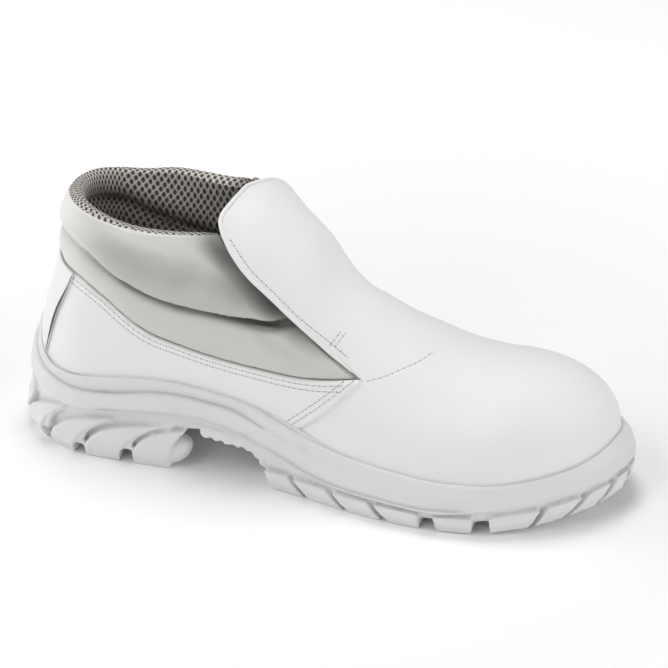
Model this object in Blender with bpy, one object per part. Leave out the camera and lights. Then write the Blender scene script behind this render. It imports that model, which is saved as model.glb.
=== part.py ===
"""High-top pull-on safety shoe for the right foot: six separate pieces, in metres, toe to +X, +Z up.

The shoe is laid out as columns round its outline. A column stands on the spine and looks outward: it
turns about the heel pivot, runs along the side, then turns about the toe pivot. Every piece reads its
surface from the same column functions, so the pieces fit one another.
"""

import math
from collections import namedtuple

import bmesh
import bpy
import numpy as np

for leftover in list(bpy.data.objects):
    bpy.data.objects.remove(leftover, do_unlink=True)

# Sizes in millimetres, x from the back of the heel, y from the spine at the heel, lateral side at -y
MM = 0.001
SOLE_LENGTH = 303.4
SOLE_WIDTH_LATERAL = 51.2
SOLE_WIDTH_MEDIAL = 51.4
HEEL_PIVOT = 44.5
TOE_PIVOT = 238.5
TOE_SWING = 6.0
SPINE_STARTS_SWINGING = 116.0
HEEL_ARC = 60.0
TOE_ARC = 86.0
SIDE_RUN = TOE_PIVOT - HEEL_PIVOT
HALF_WALK = HEEL_ARC + SIDE_RUN + TOE_ARC

FIT_GAP = 0.3
CUP_GAP = 0.45
UPPER_WALL = 2.0
QUARTER_STEP = 0.9
SEAM_LEAN = 44.5
SEAM_BEVEL = 0.8
SEAM_MEETS_SOLE_X = 150.5
SEAM_RUN = 4.5
V_CORNER_X = 180.5
FLAP_LIFT = 2.4
FLAP_LIFT_STARTS = 176.0
FLAP_LIFT_RUN = 34.0
FLAP_CURL = 3.2
FLAP_CURL_STARTS = 172.0
FLAP_CURL_RUN = 46.0
FLAP_TOP_LATERAL = 105.0
FLAP_TOP_CROWN = 113.0
FLAP_TOP_MEDIAL = 128.0
FLAP_CORNER_LATERAL = 5.0
FLAP_CORNER_MEDIAL = 4.0
FLAP_SWEEP_LATERAL = 1.5
FLAP_SWEEP_MEDIAL = 0.9
FLAP_CORNER_SHARE = 0.4
STRAP_HALF_WIDTH = 22.5
STRAP_THICKNESS = 1.1
STRAP_CLEARS_SOLE = 0.7
INSOLE_THICKNESS = 4.5

COLLAR_TUCK = 7.0
COLLAR_SKIRT = 2.2
COLLAR_PAD = 6.6
COLLAR_GUSSET = 3.2
COLLAR_CLEARANCE = 0.8
COLLAR_RIM_IN = 0.2
LOWER_ROLL = 2.6
UPPER_ROLL = 2.2
ROLL_CREASE = 1.4
COLLAR_FRONT_STARTS = 96.0
COLLAR_FRONT_RIM_X = 122.0
COLLAR_FRONT_FOOT_X = 186.0
COLLAR_STOPS_X = 179.4
COLLAR_OFF_FLAP = 0.8
COLLAR_LEANS = (0.13, 0.27, 0.41, 0.55, 0.69, 0.82, 0.93, 1.0)

HEEL_FLARE = 3.2
WELT_STEP = 1.7
WELT_FADES = 112.0
WELT_FADE_RUN = 26.0
LIP_THICKNESS = 1.6
HEEL_RECESS = 3.4
FOREFOOT_RECESS = 2.6
RECESS_CHANGES = 88.0
RECESS_RUN = 30.0
TOE_SPRING = 9.5
SPRING_STARTS = 215.0
LUG_STANDS_OUT = 0.4
LUG_BEVEL = 2.4
HEEL_BEVEL = 4.5
BEVEL_HEIGHT = 9.0
LUG_TAIL_SINKS = 1.6
LEAF_BOW_LEADING = -0.6
LEAF_BOW_TRAILING = -0.55
LEAF_SWELL_LEADING = 0.34
LEAF_SWELL_TRAILING = 0.16

QUARTER_ROWS = 6
FLAP_ROWS = 7
HEEL_COLUMNS = 9
TOE_COLUMNS = 11
SOLE_SIDE_STATIONS = (
    52, 60, 68, 76, 84, 88, 96, 104, 112, 119, 125, 131, 136, 143, 150.5, 155, 163, 172, 186, 200, 214, 227,
)

# Outline of the sole at its widest, the ledge from there in to the upper, and the height of the
# feather line where upper and sole meet
Plan = namedtuple("Plan", "zone at lateral medial ledge_lateral ledge_medial feather")
PLAN = (
    Plan("heel", 0, 44.5, 44.5, 9.6, 9.6, 57.0),
    Plan("heel", 22, 43.2, 43.2, 9.0, 9.0, 53.5),
    Plan("heel", 45, 41.0, 41.0, 7.4, 7.4, 45.0),
    Plan("heel", 68, 39.2, 38.8, 5.9, 5.9, 42.8),
    Plan("heel", 90, 38.5, 38.0, 5.2, 5.2, 43.8),
    Plan("side", 66, 38.5, 37.0, 5.0, 5.0, 47.0),
    Plan("side", 90, 37.5, 33.4, 4.8, 4.8, 48.5),
    Plan("side", 106, 37.0, 31.3, 4.4, 4.4, 47.0),
    Plan("side", 128, 38.2, 31.7, 4.2, 4.2, 43.7),
    Plan("side", 146, 41.4, 36.0, 4.2, 4.2, 37.4),
    Plan("side", 162, 45.8, 40.2, 4.2, 4.2, 32.4),
    Plan("side", 180, 50.8, 44.0, 4.6, 4.4, 29.0),
    Plan("side", 198, 54.5, 45.5, 5.2, 4.6, 27.4),
    Plan("side", 216, 56.4, 45.9, 5.6, 4.6, 25.6),
    Plan("side", 232, 55.6, 45.1, 5.4, 4.6, 25.6),
    Plan("toe", 15, 53.2, 46.0, 4.8, 4.6, 26.6),
    Plan("toe", 32, 52.6, 50.0, 4.6, 4.8, 28.0),
    Plan("toe", 48, 53.8, 56.0, 4.6, 5.2, 29.8),
    Plan("toe", 62, 56.8, 61.6, 5.2, 6.0, 31.6),
    Plan("toe", 76, 61.0, 64.8, 6.6, 7.4, 34.0),
    Plan("toe", 90, 64.5, 64.5, 8.0, 8.0, 35.5),
)

# Heights along the length: parting of midsole and outsole, floor of the cup, bottom between the lugs
Length = namedtuple("Length", "x parting bed slab")
LENGTHS = (
    Length(0, 33.0, 37.0, 9.0),
    Length(12, 30.0, 36.0, 6.0),
    Length(30, 27.0, 35.2, 6.0),
    Length(50, 27.0, 35.0, 6.0),
    Length(70, 29.0, 35.2, 6.0),
    Length(84, 30.2, 35.6, 6.0),
    Length(88, 30.4, 35.6, 22.5),
    Length(104, 30.0, 35.0, 23.6),
    Length(125, 25.5, 31.5, 19.0),
    Length(131, 23.6, 29.6, 15.0),
    Length(136, 21.9, 28.0, 5.5),
    Length(146, 18.8, 24.6, 5.0),
    Length(158, 14.8, 20.4, 5.0),
    Length(172, 12.8, 17.4, 5.0),
    Length(198, 12.0, 15.6, 5.0),
    Length(220, 11.4, 15.2, 5.0),
    Length(240, 13.2, 17.0, 6.0),
    Length(264, 17.4, 21.0, 8.8),
    Length(287, 20.6, 24.4, 13.2),
    Length(304, 23.0, 27.0, 17.2),
)

# How far the heel and ankle wall stands in from its foot, at five heights
Wall = namedtuple("Wall", "zone at foot counter topline ankle rim")
WALL_HEIGHTS = (45.0, 67.0, 92.0, 112.0, 130.0)
WALLS = (
    Wall("heel", 0, 0.0, 4.9, 11.4, 13.4, 15.0),
    Wall("heel", 45, 0.0, 3.8, 10.0, 11.0, 11.6),
    Wall("heel", 90, 0.0, 2.3, 6.8, 6.8, 6.3),
    Wall("side", 66, 0.0, 1.2, 2.5, 2.5, 0.5),
    Wall("side", 90, 0.0, 0.7, 1.2, 1.2, -0.5),
    Wall("side", 110, 0.0, 0.4, 0.8, 1.0, 1.0),
    Wall("side", 130, 0.0, 0.4, 0.8, 1.0, 1.0),
)

# Closed sections of the last from the ankle to the toe: an arch from the foot to the ridge
Section = namedtuple(
    "Section", "zone at ridge belly_height belly_lateral belly_medial reach_lateral reach_medial"
)
SECTIONS = (
    Section("side", 66, 160.0, 120.0, 3.0, 6.0, 34.0, 33.0),
    Section("side", 96, 145.0, 118.0, 4.0, 8.0, 33.0, 32.0),
    Section("side", 111, 139.6, 114.0, 4.5, 8.5, 32.0, 41.0),
    Section("side", 125, 135.4, 104.0, 4.0, 8.5, 30.0, 38.0),
    Section("side", 138, 126.5, 93.0, 3.0, 7.5, 27.5, 27.0),
    Section("side", 149, 115.5, 83.0, 2.5, 5.0, 25.5, 26.0),
    Section("side", 157, 104.2, 74.5, 2.0, 4.0, 24.5, 24.5),
    Section("side", 167, 94.7, 66.0, 2.0, 3.0, 24.5, 24.5),
    Section("side", 178, 88.7, 60.5, 2.0, 2.5, 25.0, 25.0),
    Section("side", 191, 81.7, 55.5, 2.0, 2.0, 27.0, 25.0),
    Section("side", 204, 77.2, 51.5, 2.0, 2.0, 29.0, 25.0),
    Section("side", 218, 71.8, 48.0, 2.0, 2.0, 30.5, 26.0),
    Section("side", 230, 69.2, 47.2, 2.0, 2.0, 31.5, 27.5),
    Section("toe", 0, 68.5, 47.0, 2.0, 2.0, 32.0, 28.0),
    Section("toe", 1, 68.5, 47.2, 2.0, 2.0, 32.0, 28.0),
    Section("toe", 30, 68.5, 52.0, 1.5, 2.0, 33.0, 30.5),
    Section("toe", 60, 68.5, 55.0, 2.5, 2.5, 35.0, 35.0),
    Section("toe", 90, 68.5, 58.0, 3.5, 3.5, 36.5, 36.5),
)

# Top edge of the quarter, crease between the two collar rolls and the rim, round the opening
Topline = namedtuple("Topline", "zone at edge crease rim rim_medial")
TOPLINES = (
    Topline("heel", 0, 94.0, 111.0, 126.0, 126.0),
    Topline("heel", 45, 92.4, 110.0, 126.0, 126.0),
    Topline("heel", 90, 88.0, 104.6, 124.6, 125.0),
    Topline("side", 54.5, 83.0, 99.0, 123.4, 124.8),
    Topline("side", 63, 77.6, 96.0, 123.0, 125.2),
    Topline("side", 74, 71.8, 92.8, 123.2, 126.4),
    Topline("side", 90, 68.2, 89.6, 124.4, 128.2),
    Topline("side", 106, 65.2, 89.4, 126.0, 129.6),
    Topline("side", 131, 63.0, 88.8, 127.0, 130.6),
    Topline("side", 156, 62.6, 88.8, 127.0, 130.6),
    Topline("side", 181, 65.4, 88.8, 127.0, 130.6),
)

# Height of the step along the sole's side, round the heel and waist
Welt = namedtuple("Welt", "zone at height")
WELTS = (
    Welt("heel", 0, 47.0),
    Welt("heel", 45, 39.4),
    Welt("heel", 90, 35.8),
    Welt("side", 60, 37.5),
    Welt("side", 75, 40.6),
    Welt("side", 92, 41.6),
    Welt("side", 106, 40.2),
    Welt("side", 124, 38.0),
    Welt("side", 140, 32.0),
)

# Free edge of the instep flap, from the V corner up to its rounded top
FlapEdge = namedtuple("FlapEdge", "x height")
FLAP_EDGE = (
    FlapEdge(108, 129.0),
    FlapEdge(114, 122.4),
    FlapEdge(123, 112.8),
    FlapEdge(135, 102.4),
    FlapEdge(147, 91.2),
    FlapEdge(158, 81.2),
    FlapEdge(167, 74.4),
    FlapEdge(174, 70.0),
    FlapEdge(180.5, 65.4),
)


# Lugs let into the side of the sole, by their walk at the foot and at the head; a leaf leans forward and
# runs out in a tail, and the teeth between leaves stand off the floor and are set in
SideLug = namedtuple("SideLug", "foot_from foot_to head_from head_to lift height depth set_in leaf")
SIDE_LUGS = (
    SideLug(1.5, 11, 1.5, 22, 0.0, 22.0, 22.0, 0.0, False),
    SideLug(17, 31, 45, 46, 0.0, 23.8, 22.0, 0.0, True),
    SideLug(38, 51.4, 71, 72, 0.0, 22.4, 20.0, 0.0, True),
    SideLug(58, 75.5, 97, 98, 0.0, 22.6, 20.0, 0.0, True),
    SideLug(82.5, 101, 108, 109, 0.0, 21.8, 20.0, 0.0, True),
    SideLug(32, 36, 45.5, 47, 8.0, 22.6, 18.0, 1.5, True),
    SideLug(52, 57, 70.5, 72, 6.0, 20.6, 18.0, 1.5, True),
    SideLug(77, 82, 92, 94, 7.5, 19.4, 18.0, 1.5, True),
    SideLug(154, 171, 150, 162.5, 0.0, 10.4, 22.0, 0.0, False),
    SideLug(174, 192, 165, 183, 0.0, 9.8, 24.0, 0.0, False),
    SideLug(195, 212, 186, 205, 0.0, 9.4, 25.0, 0.0, False),
    SideLug(216, 231, 208, 231, 0.0, 9.0, 25.0, 0.0, False),
    SideLug(239.5, 256, 238, 257, 0.0, 9.0, 25.0, 0.0, False),
    SideLug(265.5, 285, 265, 291, 0.0, 9.4, 25.0, 0.0, False),
    SideLug(288.5, 303, 295, 313, 0.0, 9.6, 25.0, 0.0, False),
    SideLug(307, 320, 317, 328, 0.0, 10.0, 25.0, 0.0, False),
    SideLug(324, 337, 332, 338.5, 0.0, 10.4, 25.0, 0.0, False),
)

# Plain blocks down the middle of the tread, which the shoe mostly stands on
Block = namedtuple("Block", "x_from x_to y_from y_to")
BLOCKS = (
    Block(26, 80, -10, 10),
    Block(142, 156, -12, 10),
    Block(162, 176, -17, 13),
    Block(182, 196, -21, 14),
    Block(202, 214, -22, 14),
    Block(222, 234, -20, 13),
)


def ease(value):
    """Smooth step from 0 to 1."""
    value = min(max(value, 0.0), 1.0)
    return value * value * (3.0 - 2.0 * value)


def curve_through(knots, values):
    """Smooth curve through points, level beyond both ends."""
    knots = [float(k) for k in knots]
    values = [float(v) for v in values]
    slopes = [(values[i + 1] - values[i]) / (knots[i + 1] - knots[i]) for i in range(len(knots) - 1)]
    tangents = [slopes[0]]
    for i in range(1, len(knots) - 1):
        before = knots[i] - knots[i - 1]
        after = knots[i + 1] - knots[i]
        tangents.append((after * slopes[i - 1] + before * slopes[i]) / (before + after))
    tangents.append(slopes[-1])

    def curve(at):
        if at <= knots[0]:
            return values[0]
        if at >= knots[-1]:
            return values[-1]
        i = int(np.searchsorted(knots, at, side="right")) - 1
        span = knots[i + 1] - knots[i]
        t = (at - knots[i]) / span
        return (
            (1 + 2 * t) * (1 - t) ** 2 * values[i]
            + t * (1 - t) ** 2 * span * tangents[i]
            + t * t * (3 - 2 * t) * values[i + 1]
            + t * t * (t - 1) * span * tangents[i + 1]
        )

    return curve


def straight_through(knots, values):
    """Straight runs through points."""
    return lambda at: float(np.interp(at, knots, values))


def walk_of(zone, at):
    """Distance walked from the heel back to a row of a table."""
    if zone == "heel":
        return at / 90.0 * HEEL_ARC
    if zone == "side":
        return HEEL_ARC + at - HEEL_PIVOT
    return HEEL_ARC + SIDE_RUN + at / 90.0 * TOE_ARC


def round_trip(rows, lateral, medial):
    """Curve round the whole shoe, lateral side out and medial side back."""
    out = [(walk_of(row.zone, row.at), getattr(row, lateral)) for row in rows]
    back = [(2 * HALF_WALK - walk_of(row.zone, row.at), getattr(row, medial)) for row in reversed(rows)]
    loop = out + [point for point in back if all(abs(point[0] - other[0]) > 1e-6 for other in out)]
    if out[0][0] == 0.0:
        loop = [(at - 2 * HALF_WALK, value) for at, value in loop[-4:-1]] + loop
        loop += [(at + 2 * HALF_WALK, value) for at, value in out[1:4]]
    return curve_through([at for at, value in loop], [value for at, value in loop])


def one_way(rows, name):
    """Curve from the heel back to the toe, the same on both sides."""
    return curve_through([walk_of(row.zone, row.at) for row in rows], [getattr(row, name) for row in rows])


def along(rows, name, joined=curve_through):
    """Curve along the length."""
    return joined([row.x for row in rows], [getattr(row, name) for row in rows])


sole_reach = round_trip(PLAN, "lateral", "medial")
ledge = round_trip(PLAN, "ledge_lateral", "ledge_medial")
feather = round_trip(PLAN, "feather", "feather")
belly_out = round_trip(SECTIONS, "belly_lateral", "belly_medial")
belly_height = round_trip(SECTIONS, "belly_height", "belly_height")
crown_reach = round_trip(SECTIONS, "reach_lateral", "reach_medial")
ridge_height = one_way(SECTIONS, "ridge")
wall_in = [one_way(WALLS, name) for name in Wall._fields[2:]]
quarter_edge = one_way(TOPLINES, "edge")
roll_crease = one_way(TOPLINES, "crease")
rim_height = one_way(TOPLINES, "rim")
rim_height_medial = one_way(TOPLINES, "rim_medial")
welt_height = one_way(WELTS, "height")
parting = along(LENGTHS, "parting")
cup_floor = along(LENGTHS, "bed")
slab_bottom = along(LENGTHS, "slab", straight_through)
flap_edge = along(FLAP_EDGE, "height")


def half_walk(walk):
    """Distance from the heel back along the nearer side, and which side that is."""
    walk = walk % (2 * HALF_WALK)
    if walk <= HALF_WALK:
        return walk, -1.0
    return 2 * HALF_WALK - walk, 1.0


def spine_y(x):
    return TOE_SWING * ease((x - SPINE_STARTS_SWINGING) / (TOE_PIVOT - SPINE_STARTS_SWINGING))


def stance(walk):
    """Foot of a column on the spine and the level direction it looks in."""
    half, side = half_walk(walk)
    if half < HEEL_ARC:
        turn = math.radians(90.0 * half / HEEL_ARC)
        return (HEEL_PIVOT, 0.0), (-math.cos(turn), side * math.sin(turn))
    if half <= HEEL_ARC + SIDE_RUN:
        x = HEEL_PIVOT + half - HEEL_ARC
        return (x, spine_y(x)), (0.0, side)
    turn = math.radians(90.0 * (half - HEEL_ARC - SIDE_RUN) / TOE_ARC)
    return (TOE_PIVOT, TOE_SWING), (math.sin(turn), side * math.cos(turn))


def placed(walk, reach, z):
    """Point of a column at a reach from the spine and a height."""
    foot, look = stance(walk)
    return np.array((foot[0] + reach * look[0], foot[1] + reach * look[1], z))


def floor_of_cup(walk):
    return cup_floor(placed(walk, sole_reach(walk), 0.0)[0])


def arch(walk):
    """Closed section of a column as reach and height, from the cup floor to the ridge."""
    half, side = half_walk(walk)
    foot = sole_reach(walk) - ledge(walk)
    ridge = ridge_height(half)
    reach = (foot, foot + belly_out(walk), crown_reach(walk), 0.0)
    height = (floor_of_cup(walk), belly_height(walk), ridge, ridge)
    t = np.linspace(0.0, 1.0, 61)
    weights = ((1 - t) ** 3, 3 * t * (1 - t) ** 2, 3 * t * t * (1 - t), t**3)
    return sum(w * r for w, r in zip(weights, reach)), sum(w * h for w, h in zip(weights, height))


def arch_share(walk, z):
    """Share of the arch's run at which it reaches a height."""
    reach, height = arch(walk)
    run = np.concatenate(([0.0], np.cumsum(np.hypot(np.diff(reach), np.diff(height)))))
    return float(np.interp(z, height, run)) / run[-1]


def on_arch(walk, share):
    """Point at a share of the arch's run."""
    reach, height = arch(walk)
    run = np.concatenate(([0.0], np.cumsum(np.hypot(np.diff(reach), np.diff(height)))))
    at = share * run[-1]
    return placed(walk, float(np.interp(at, run, reach)), float(np.interp(at, run, height)))


def wall_reach(walk, z):
    """Reach of the heel and ankle wall, eased into the closed arch forward of the ankle."""
    half, side = half_walk(walk)
    stand_in = curve_through(WALL_HEIGHTS, [column(half) for column in wall_in])(z)
    heel_wall = sole_reach(walk) - ledge(walk) - stand_in
    blend = ease((half - walk_of("side", 64.0)) / 32.0)
    if blend == 0.0:
        return heel_wall
    reach, height = arch(walk)
    return (1 - blend) * heel_wall + blend * float(np.interp(z, height, reach))


def on_wall(walk, z):
    return placed(walk, wall_reach(walk, z), z)


def on_side(walk, side):
    """The same walk on the lateral side, or its mate on the medial side."""
    return walk if side < 0 else (2 * HALF_WALK - walk) % (2 * HALF_WALK)


def edge_x(walk):
    return placed(walk, sole_reach(walk), 0.0)[0]


def floor_height(x):
    """Floor under the sole: level, then the toe's spring."""
    return TOE_SPRING * max(0.0, (x - SPRING_STARTS) / (SOLE_LENGTH - SPRING_STARTS)) ** 2


def outsole_recess(x):
    """How far the tread's side stands in under the midsole, between its lugs."""
    return FOREFOOT_RECESS + (HEEL_RECESS - FOREFOOT_RECESS) * ease((RECESS_CHANGES - x) / RECESS_RUN)


def quarter_step(walk):
    """The quarters stand proud of the vamp, back of the lapped seam."""
    half, side = half_walk(walk)
    return QUARTER_STEP * (1.0 - ease((half - walk_of("side", SEAM_MEETS_SOLE_X)) / SEAM_RUN))


def cup_reach(walk, z):
    """Inner side of the sole's cup, a fit gap outside the upper."""
    return wall_reach(walk, z) + quarter_step(walk) + CUP_GAP


def heel_flare(walk):
    """The back of the heel leans in toward the top."""
    half, side = half_walk(walk)
    return HEEL_FLARE * ease(1.0 - half / HEEL_ARC)


def vamp_break(half):
    """Height on the vamp at the level of the V corner, sinking to the shoulder of the toe."""
    start = walk_of("side", V_CORNER_X)
    share = ease((half - start) / (HALF_WALK - start))
    return (1 - share) * quarter_edge(start) + share * 53.0


def flap_lift(x):
    """The flap stands off the collar that runs under it."""
    return FLAP_LIFT * ease((FLAP_LIFT_STARTS - x) / FLAP_LIFT_RUN)


def flap_curl(x, share):
    """The free edge of the flap curls outward, more toward its top."""
    return FLAP_CURL * (1.0 - share) ** 3 * ease((FLAP_CURL_STARTS - x) / FLAP_CURL_RUN)


def flap_top(share, side):
    """Where the flap ends, from its free edge to its crown, with rounded corners."""
    end = FLAP_TOP_LATERAL if side < 0 else FLAP_TOP_MEDIAL
    sweep = FLAP_SWEEP_LATERAL if side < 0 else FLAP_SWEEP_MEDIAL
    rounding = FLAP_CORNER_LATERAL if side < 0 else FLAP_CORNER_MEDIAL
    corner = 1.0 - min(share / FLAP_CORNER_SHARE, 1.0)
    drop = rounding * (1.0 - math.sqrt(1.0 - corner**2))
    return FLAP_TOP_CROWN + (end - FLAP_TOP_CROWN) * (1.0 - share) ** sweep + drop


class Patchwork:
    """Faces gathered by points, which weld where they fall together."""

    def __init__(self):
        self.points = []
        self.known = {}
        self.faces = []
        self.tags = {}

    def point(self, place, tag=None):
        key = tuple(int(round(v * 200)) for v in place)
        if key not in self.known:
            self.known[key] = len(self.points)
            self.points.append(np.array(place, dtype=float))
        if tag is not None:
            self.tags.setdefault(self.known[key], {}).update(tag)
        return self.known[key]

    def face(self, corners):
        kept = [c for i, c in enumerate(corners) if c != corners[i - 1]]
        if len(set(kept)) >= 3:
            self.faces.append(tuple(kept))

    def grid(self, places):
        """Faces between the rows and columns of a grid of point numbers."""
        for row, above in zip(places, places[1:]):
            for i in range(len(row) - 1):
                self.face((row[i], row[i + 1], above[i + 1], above[i]))

    def ring(self, places):
        """The same, with each row closed on itself."""
        self.grid([list(row) + [row[0]] for row in places])

    def normals(self):
        total = [np.zeros(3) for _ in self.points]
        for face in self.faces:
            for i, corner in enumerate(face):
                here = self.points[corner]
                ahead = self.points[face[(i + 1) % len(face)]] - here
                behind = self.points[face[i - 1]] - here
                normal = np.cross(ahead, behind)
                size = np.linalg.norm(normal)
                if size > 1e-9:
                    lengths = np.linalg.norm(ahead) * np.linalg.norm(behind)
                    total[corner] += normal / size * math.asin(min(1.0, size / lengths))
        return [n / max(np.linalg.norm(n), 1e-9) for n in total]

    def thicken(self, outward, inward):
        """Close an open skin into a wall: each point gives one outer and one inner point."""
        normals = self.normals()
        count = len(self.points)
        edges = {}
        for face in self.faces:
            for i, corner in enumerate(face):
                edges[(face[i - 1], corner)] = True
        rim = [(a, b) for a, b in edges if (b, a) not in edges]
        outer = [p + n * outward(i) for i, (p, n) in enumerate(zip(self.points, normals))]
        inner = [p - n * inward(i) for i, (p, n) in enumerate(zip(self.points, normals))]
        faces = list(self.faces)
        faces += [tuple(count + c for c in reversed(face)) for face in self.faces]
        faces += [(b, a, count + a, count + b) for a, b in rim]
        self.points = outer + inner
        self.faces = faces


def walks_between(start, end, count):
    return list(np.linspace(start, end, count + 1))


def round_walks(stations):
    """Columns round the whole shoe: round the heel, through the stations of the side, round the toe."""
    out = walks_between(0.0, HEEL_ARC, HEEL_COLUMNS)
    out += [walk_of("side", x) for x in stations]
    out += walks_between(HEEL_ARC + SIDE_RUN, HALF_WALK, TOE_COLUMNS)
    return out + [2 * HALF_WALK - walk for walk in reversed(out[1:-1])]


def cap(work, walks, edge, height, facing_up):
    """Close a ring of points with strips that meet along the spine."""
    half_count = len(walks) // 2
    spine = []
    for walk in walks[: half_count + 1]:
        foot, look = stance(walk)
        spine.append(work.point((foot[0], foot[1], height(foot[0]))))
    lateral = edge[: half_count + 1]
    medial = [edge[0]] + list(reversed(edge[half_count:]))
    for side, flip in ((lateral, False), (medial, True)):
        for i in range(half_count):
            corners = (spine[i], side[i], side[i + 1], spine[i + 1])
            work.face(corners if flip != facing_up else tuple(reversed(corners)))


def colour_of(name, colour, roughness):
    material = bpy.data.materials.new(name)
    material.use_nodes = True
    shader = next(node for node in material.node_tree.nodes if node.type == "BSDF_PRINCIPLED")
    shader.inputs["Base Color"].default_value = (*colour, 1.0)
    shader.inputs["Roughness"].default_value = roughness
    return material


def make(name, work, colour, roughness):
    """One mesh object, moved so that the shoe's box stands centred over the origin."""
    middle = np.array((SOLE_LENGTH / 2.0, (SOLE_WIDTH_MEDIAL - SOLE_WIDTH_LATERAL) / 2.0, 0.0))
    mesh = bpy.data.meshes.new(name)
    mesh.from_pydata([tuple((p - middle) * MM) for p in work.points], [], work.faces)
    sculpt = bmesh.new()
    sculpt.from_mesh(mesh)
    loose = [v for v in sculpt.verts if not v.link_faces]
    bmesh.ops.delete(sculpt, geom=loose, context="VERTS")
    bmesh.ops.recalc_face_normals(sculpt, faces=sculpt.faces)
    sculpt.to_mesh(mesh)
    sculpt.free()
    mesh.materials.append(colour_of(name, colour, roughness))
    thing = bpy.data.objects.new(name, mesh)
    bpy.context.scene.collection.objects.link(thing)
    return thing


def make_upper():
    work = Patchwork()
    corner = walk_of("side", V_CORNER_X)
    quarter_walks = walks_between(0.0, HEEL_ARC, 9) + walks_between(HEEL_ARC, corner, 13)[1:]
    vamp_walks = walks_between(corner, HEEL_ARC + SIDE_RUN, 8)
    vamp_walks += walks_between(HEEL_ARC + SIDE_RUN, HALF_WALK, 11)[1:]
    flap_columns = 13
    for side in (-1, 1):
        quarter = []
        vamp = []
        for row in range(QUARTER_ROWS + 1):
            share = row / QUARTER_ROWS
            lean = SEAM_LEAN * (1.0 - share)
            line = []
            for walk in quarter_walks:
                at = walk - lean * ease((walk - HEEL_ARC - 40.0) / (corner - HEEL_ARC - 40.0))
                bottom = floor_of_cup(on_side(at, side)) + FIT_GAP
                z = bottom + (quarter_edge(at) - bottom) * share
                line.append(work.point(on_wall(on_side(at, side), z), {"quarter": True}))
            quarter.append(line)
            line = []
            for walk in vamp_walks:
                at = walk - lean * (1.0 - ease((walk - corner) / 70.0))
                at += SEAM_BEVEL if walk == corner else 0.0
                bottom = floor_of_cup(on_side(at, side)) + FIT_GAP
                z = bottom + (vamp_break(walk) - bottom) * share
                start = arch_share(on_side(at, side), z)
                line.append(work.point(on_arch(on_side(at, side), start)))
            vamp.append(line)
        for row in range(1, FLAP_ROWS + 1):
            line = []
            for walk in vamp_walks:
                at = on_side(walk + SEAM_BEVEL if walk == corner else walk, side)
                start = arch_share(at, vamp_break(walk))
                line.append(work.point(on_arch(at, start + (1 - start) * row / FLAP_ROWS)))
            vamp.append(line)
        flap = []
        for row in range(FLAP_ROWS + 1):
            share = row / FLAP_ROWS
            foot = V_CORNER_X + SEAM_BEVEL
            top = flap_top(share, side)
            line = []
            for column in range(flap_columns, -1, -1):
                x = foot + (top - foot) * column / flap_columns
                at = on_side(walk_of("side", x), side)
                start = arch_share(at, flap_edge(x) if column else vamp_break(corner))
                place = on_arch(at, start + (1 - start) * share)
                line.append(work.point(place, {"lift": flap_lift(x) + flap_curl(x, share)}))
            flap.append(line)
        joint = [[a[-1], b[0]] for a, b in zip(quarter, vamp)]
        for block in (quarter, joint, vamp, flap):
            work.grid(block if side < 0 else [list(reversed(line)) for line in block])

    def outward(i):
        tag = work.tags.get(i, {})
        return QUARTER_STEP * tag.get("quarter", False) + tag.get("lift", 0.0)

    def inward(i):
        return UPPER_WALL - work.tags.get(i, {}).get("lift", 0.0)

    work.thicken(outward, inward)
    return make("upper", work, (0.82, 0.82, 0.80), 0.5)


def make_midsole():
    work = Patchwork()
    walks = round_walks(SOLE_SIDE_STATIONS)
    rows = [[] for _ in range(9)]
    for walk in walks:
        half, side = half_walk(walk)
        widest = sole_reach(walk) - heel_flare(walk)
        low = parting(edge_x(walk))
        top = feather(walk)
        bed = floor_of_cup(walk)
        stepped = 1.0 - ease((half - walk_of("side", WELT_FADES)) / WELT_FADE_RUN)
        welt = stepped * welt_height(half) + (1.0 - stepped) * (low + 0.55 * (top - low))
        lip = cup_reach(walk, top) + LIP_THICKNESS
        shoulder = widest + 0.35 * (lip - widest)
        profile = (
            (widest - 0.9, low),
            (widest, low + 1.0),
            (shoulder + 0.3, welt - 0.5),
            (shoulder - WELT_STEP * stepped, welt + 0.5),
            (lip + 0.5, top - 1.0),
            (lip - 0.4, top),
            (cup_reach(walk, top), top - 0.2),
            (cup_reach(walk, 0.5 * (top + bed)), 0.5 * (top + bed)),
            (cup_reach(walk, bed), bed),
        )
        for row, (reach, z) in zip(rows, profile):
            row.append(work.point(placed(walk, reach, z)))
    work.ring(rows)
    cap(work, walks, rows[0], parting, False)
    cap(work, walks, rows[-1], cup_floor, True)
    return make("midsole", work, (0.74, 0.74, 0.73), 0.55)


def make_insole():
    work = Patchwork()
    walks = round_walks(SOLE_SIDE_STATIONS)
    rows = [[] for _ in range(3)]
    for walk in walks:
        bed = floor_of_cup(walk) + FIT_GAP
        top = bed + INSOLE_THICKNESS
        foot = wall_reach(walk, bed) - UPPER_WALL - 2 * FIT_GAP
        head = min(foot, wall_reach(walk, top) - UPPER_WALL - 2 * FIT_GAP)
        for row, (reach, z) in zip(rows, ((foot, bed), (head, top - 0.8), (head - 0.8, top))):
            row.append(work.point(placed(walk, reach, z)))
    work.ring(rows)
    cap(work, walks, rows[0], lambda x: cup_floor(x) + FIT_GAP, False)
    cap(work, walks, rows[-1], lambda x: cup_floor(x) + FIT_GAP + INSOLE_THICKNESS, True)
    return make("insole", work, (0.35, 0.36, 0.37), 0.8)


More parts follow.
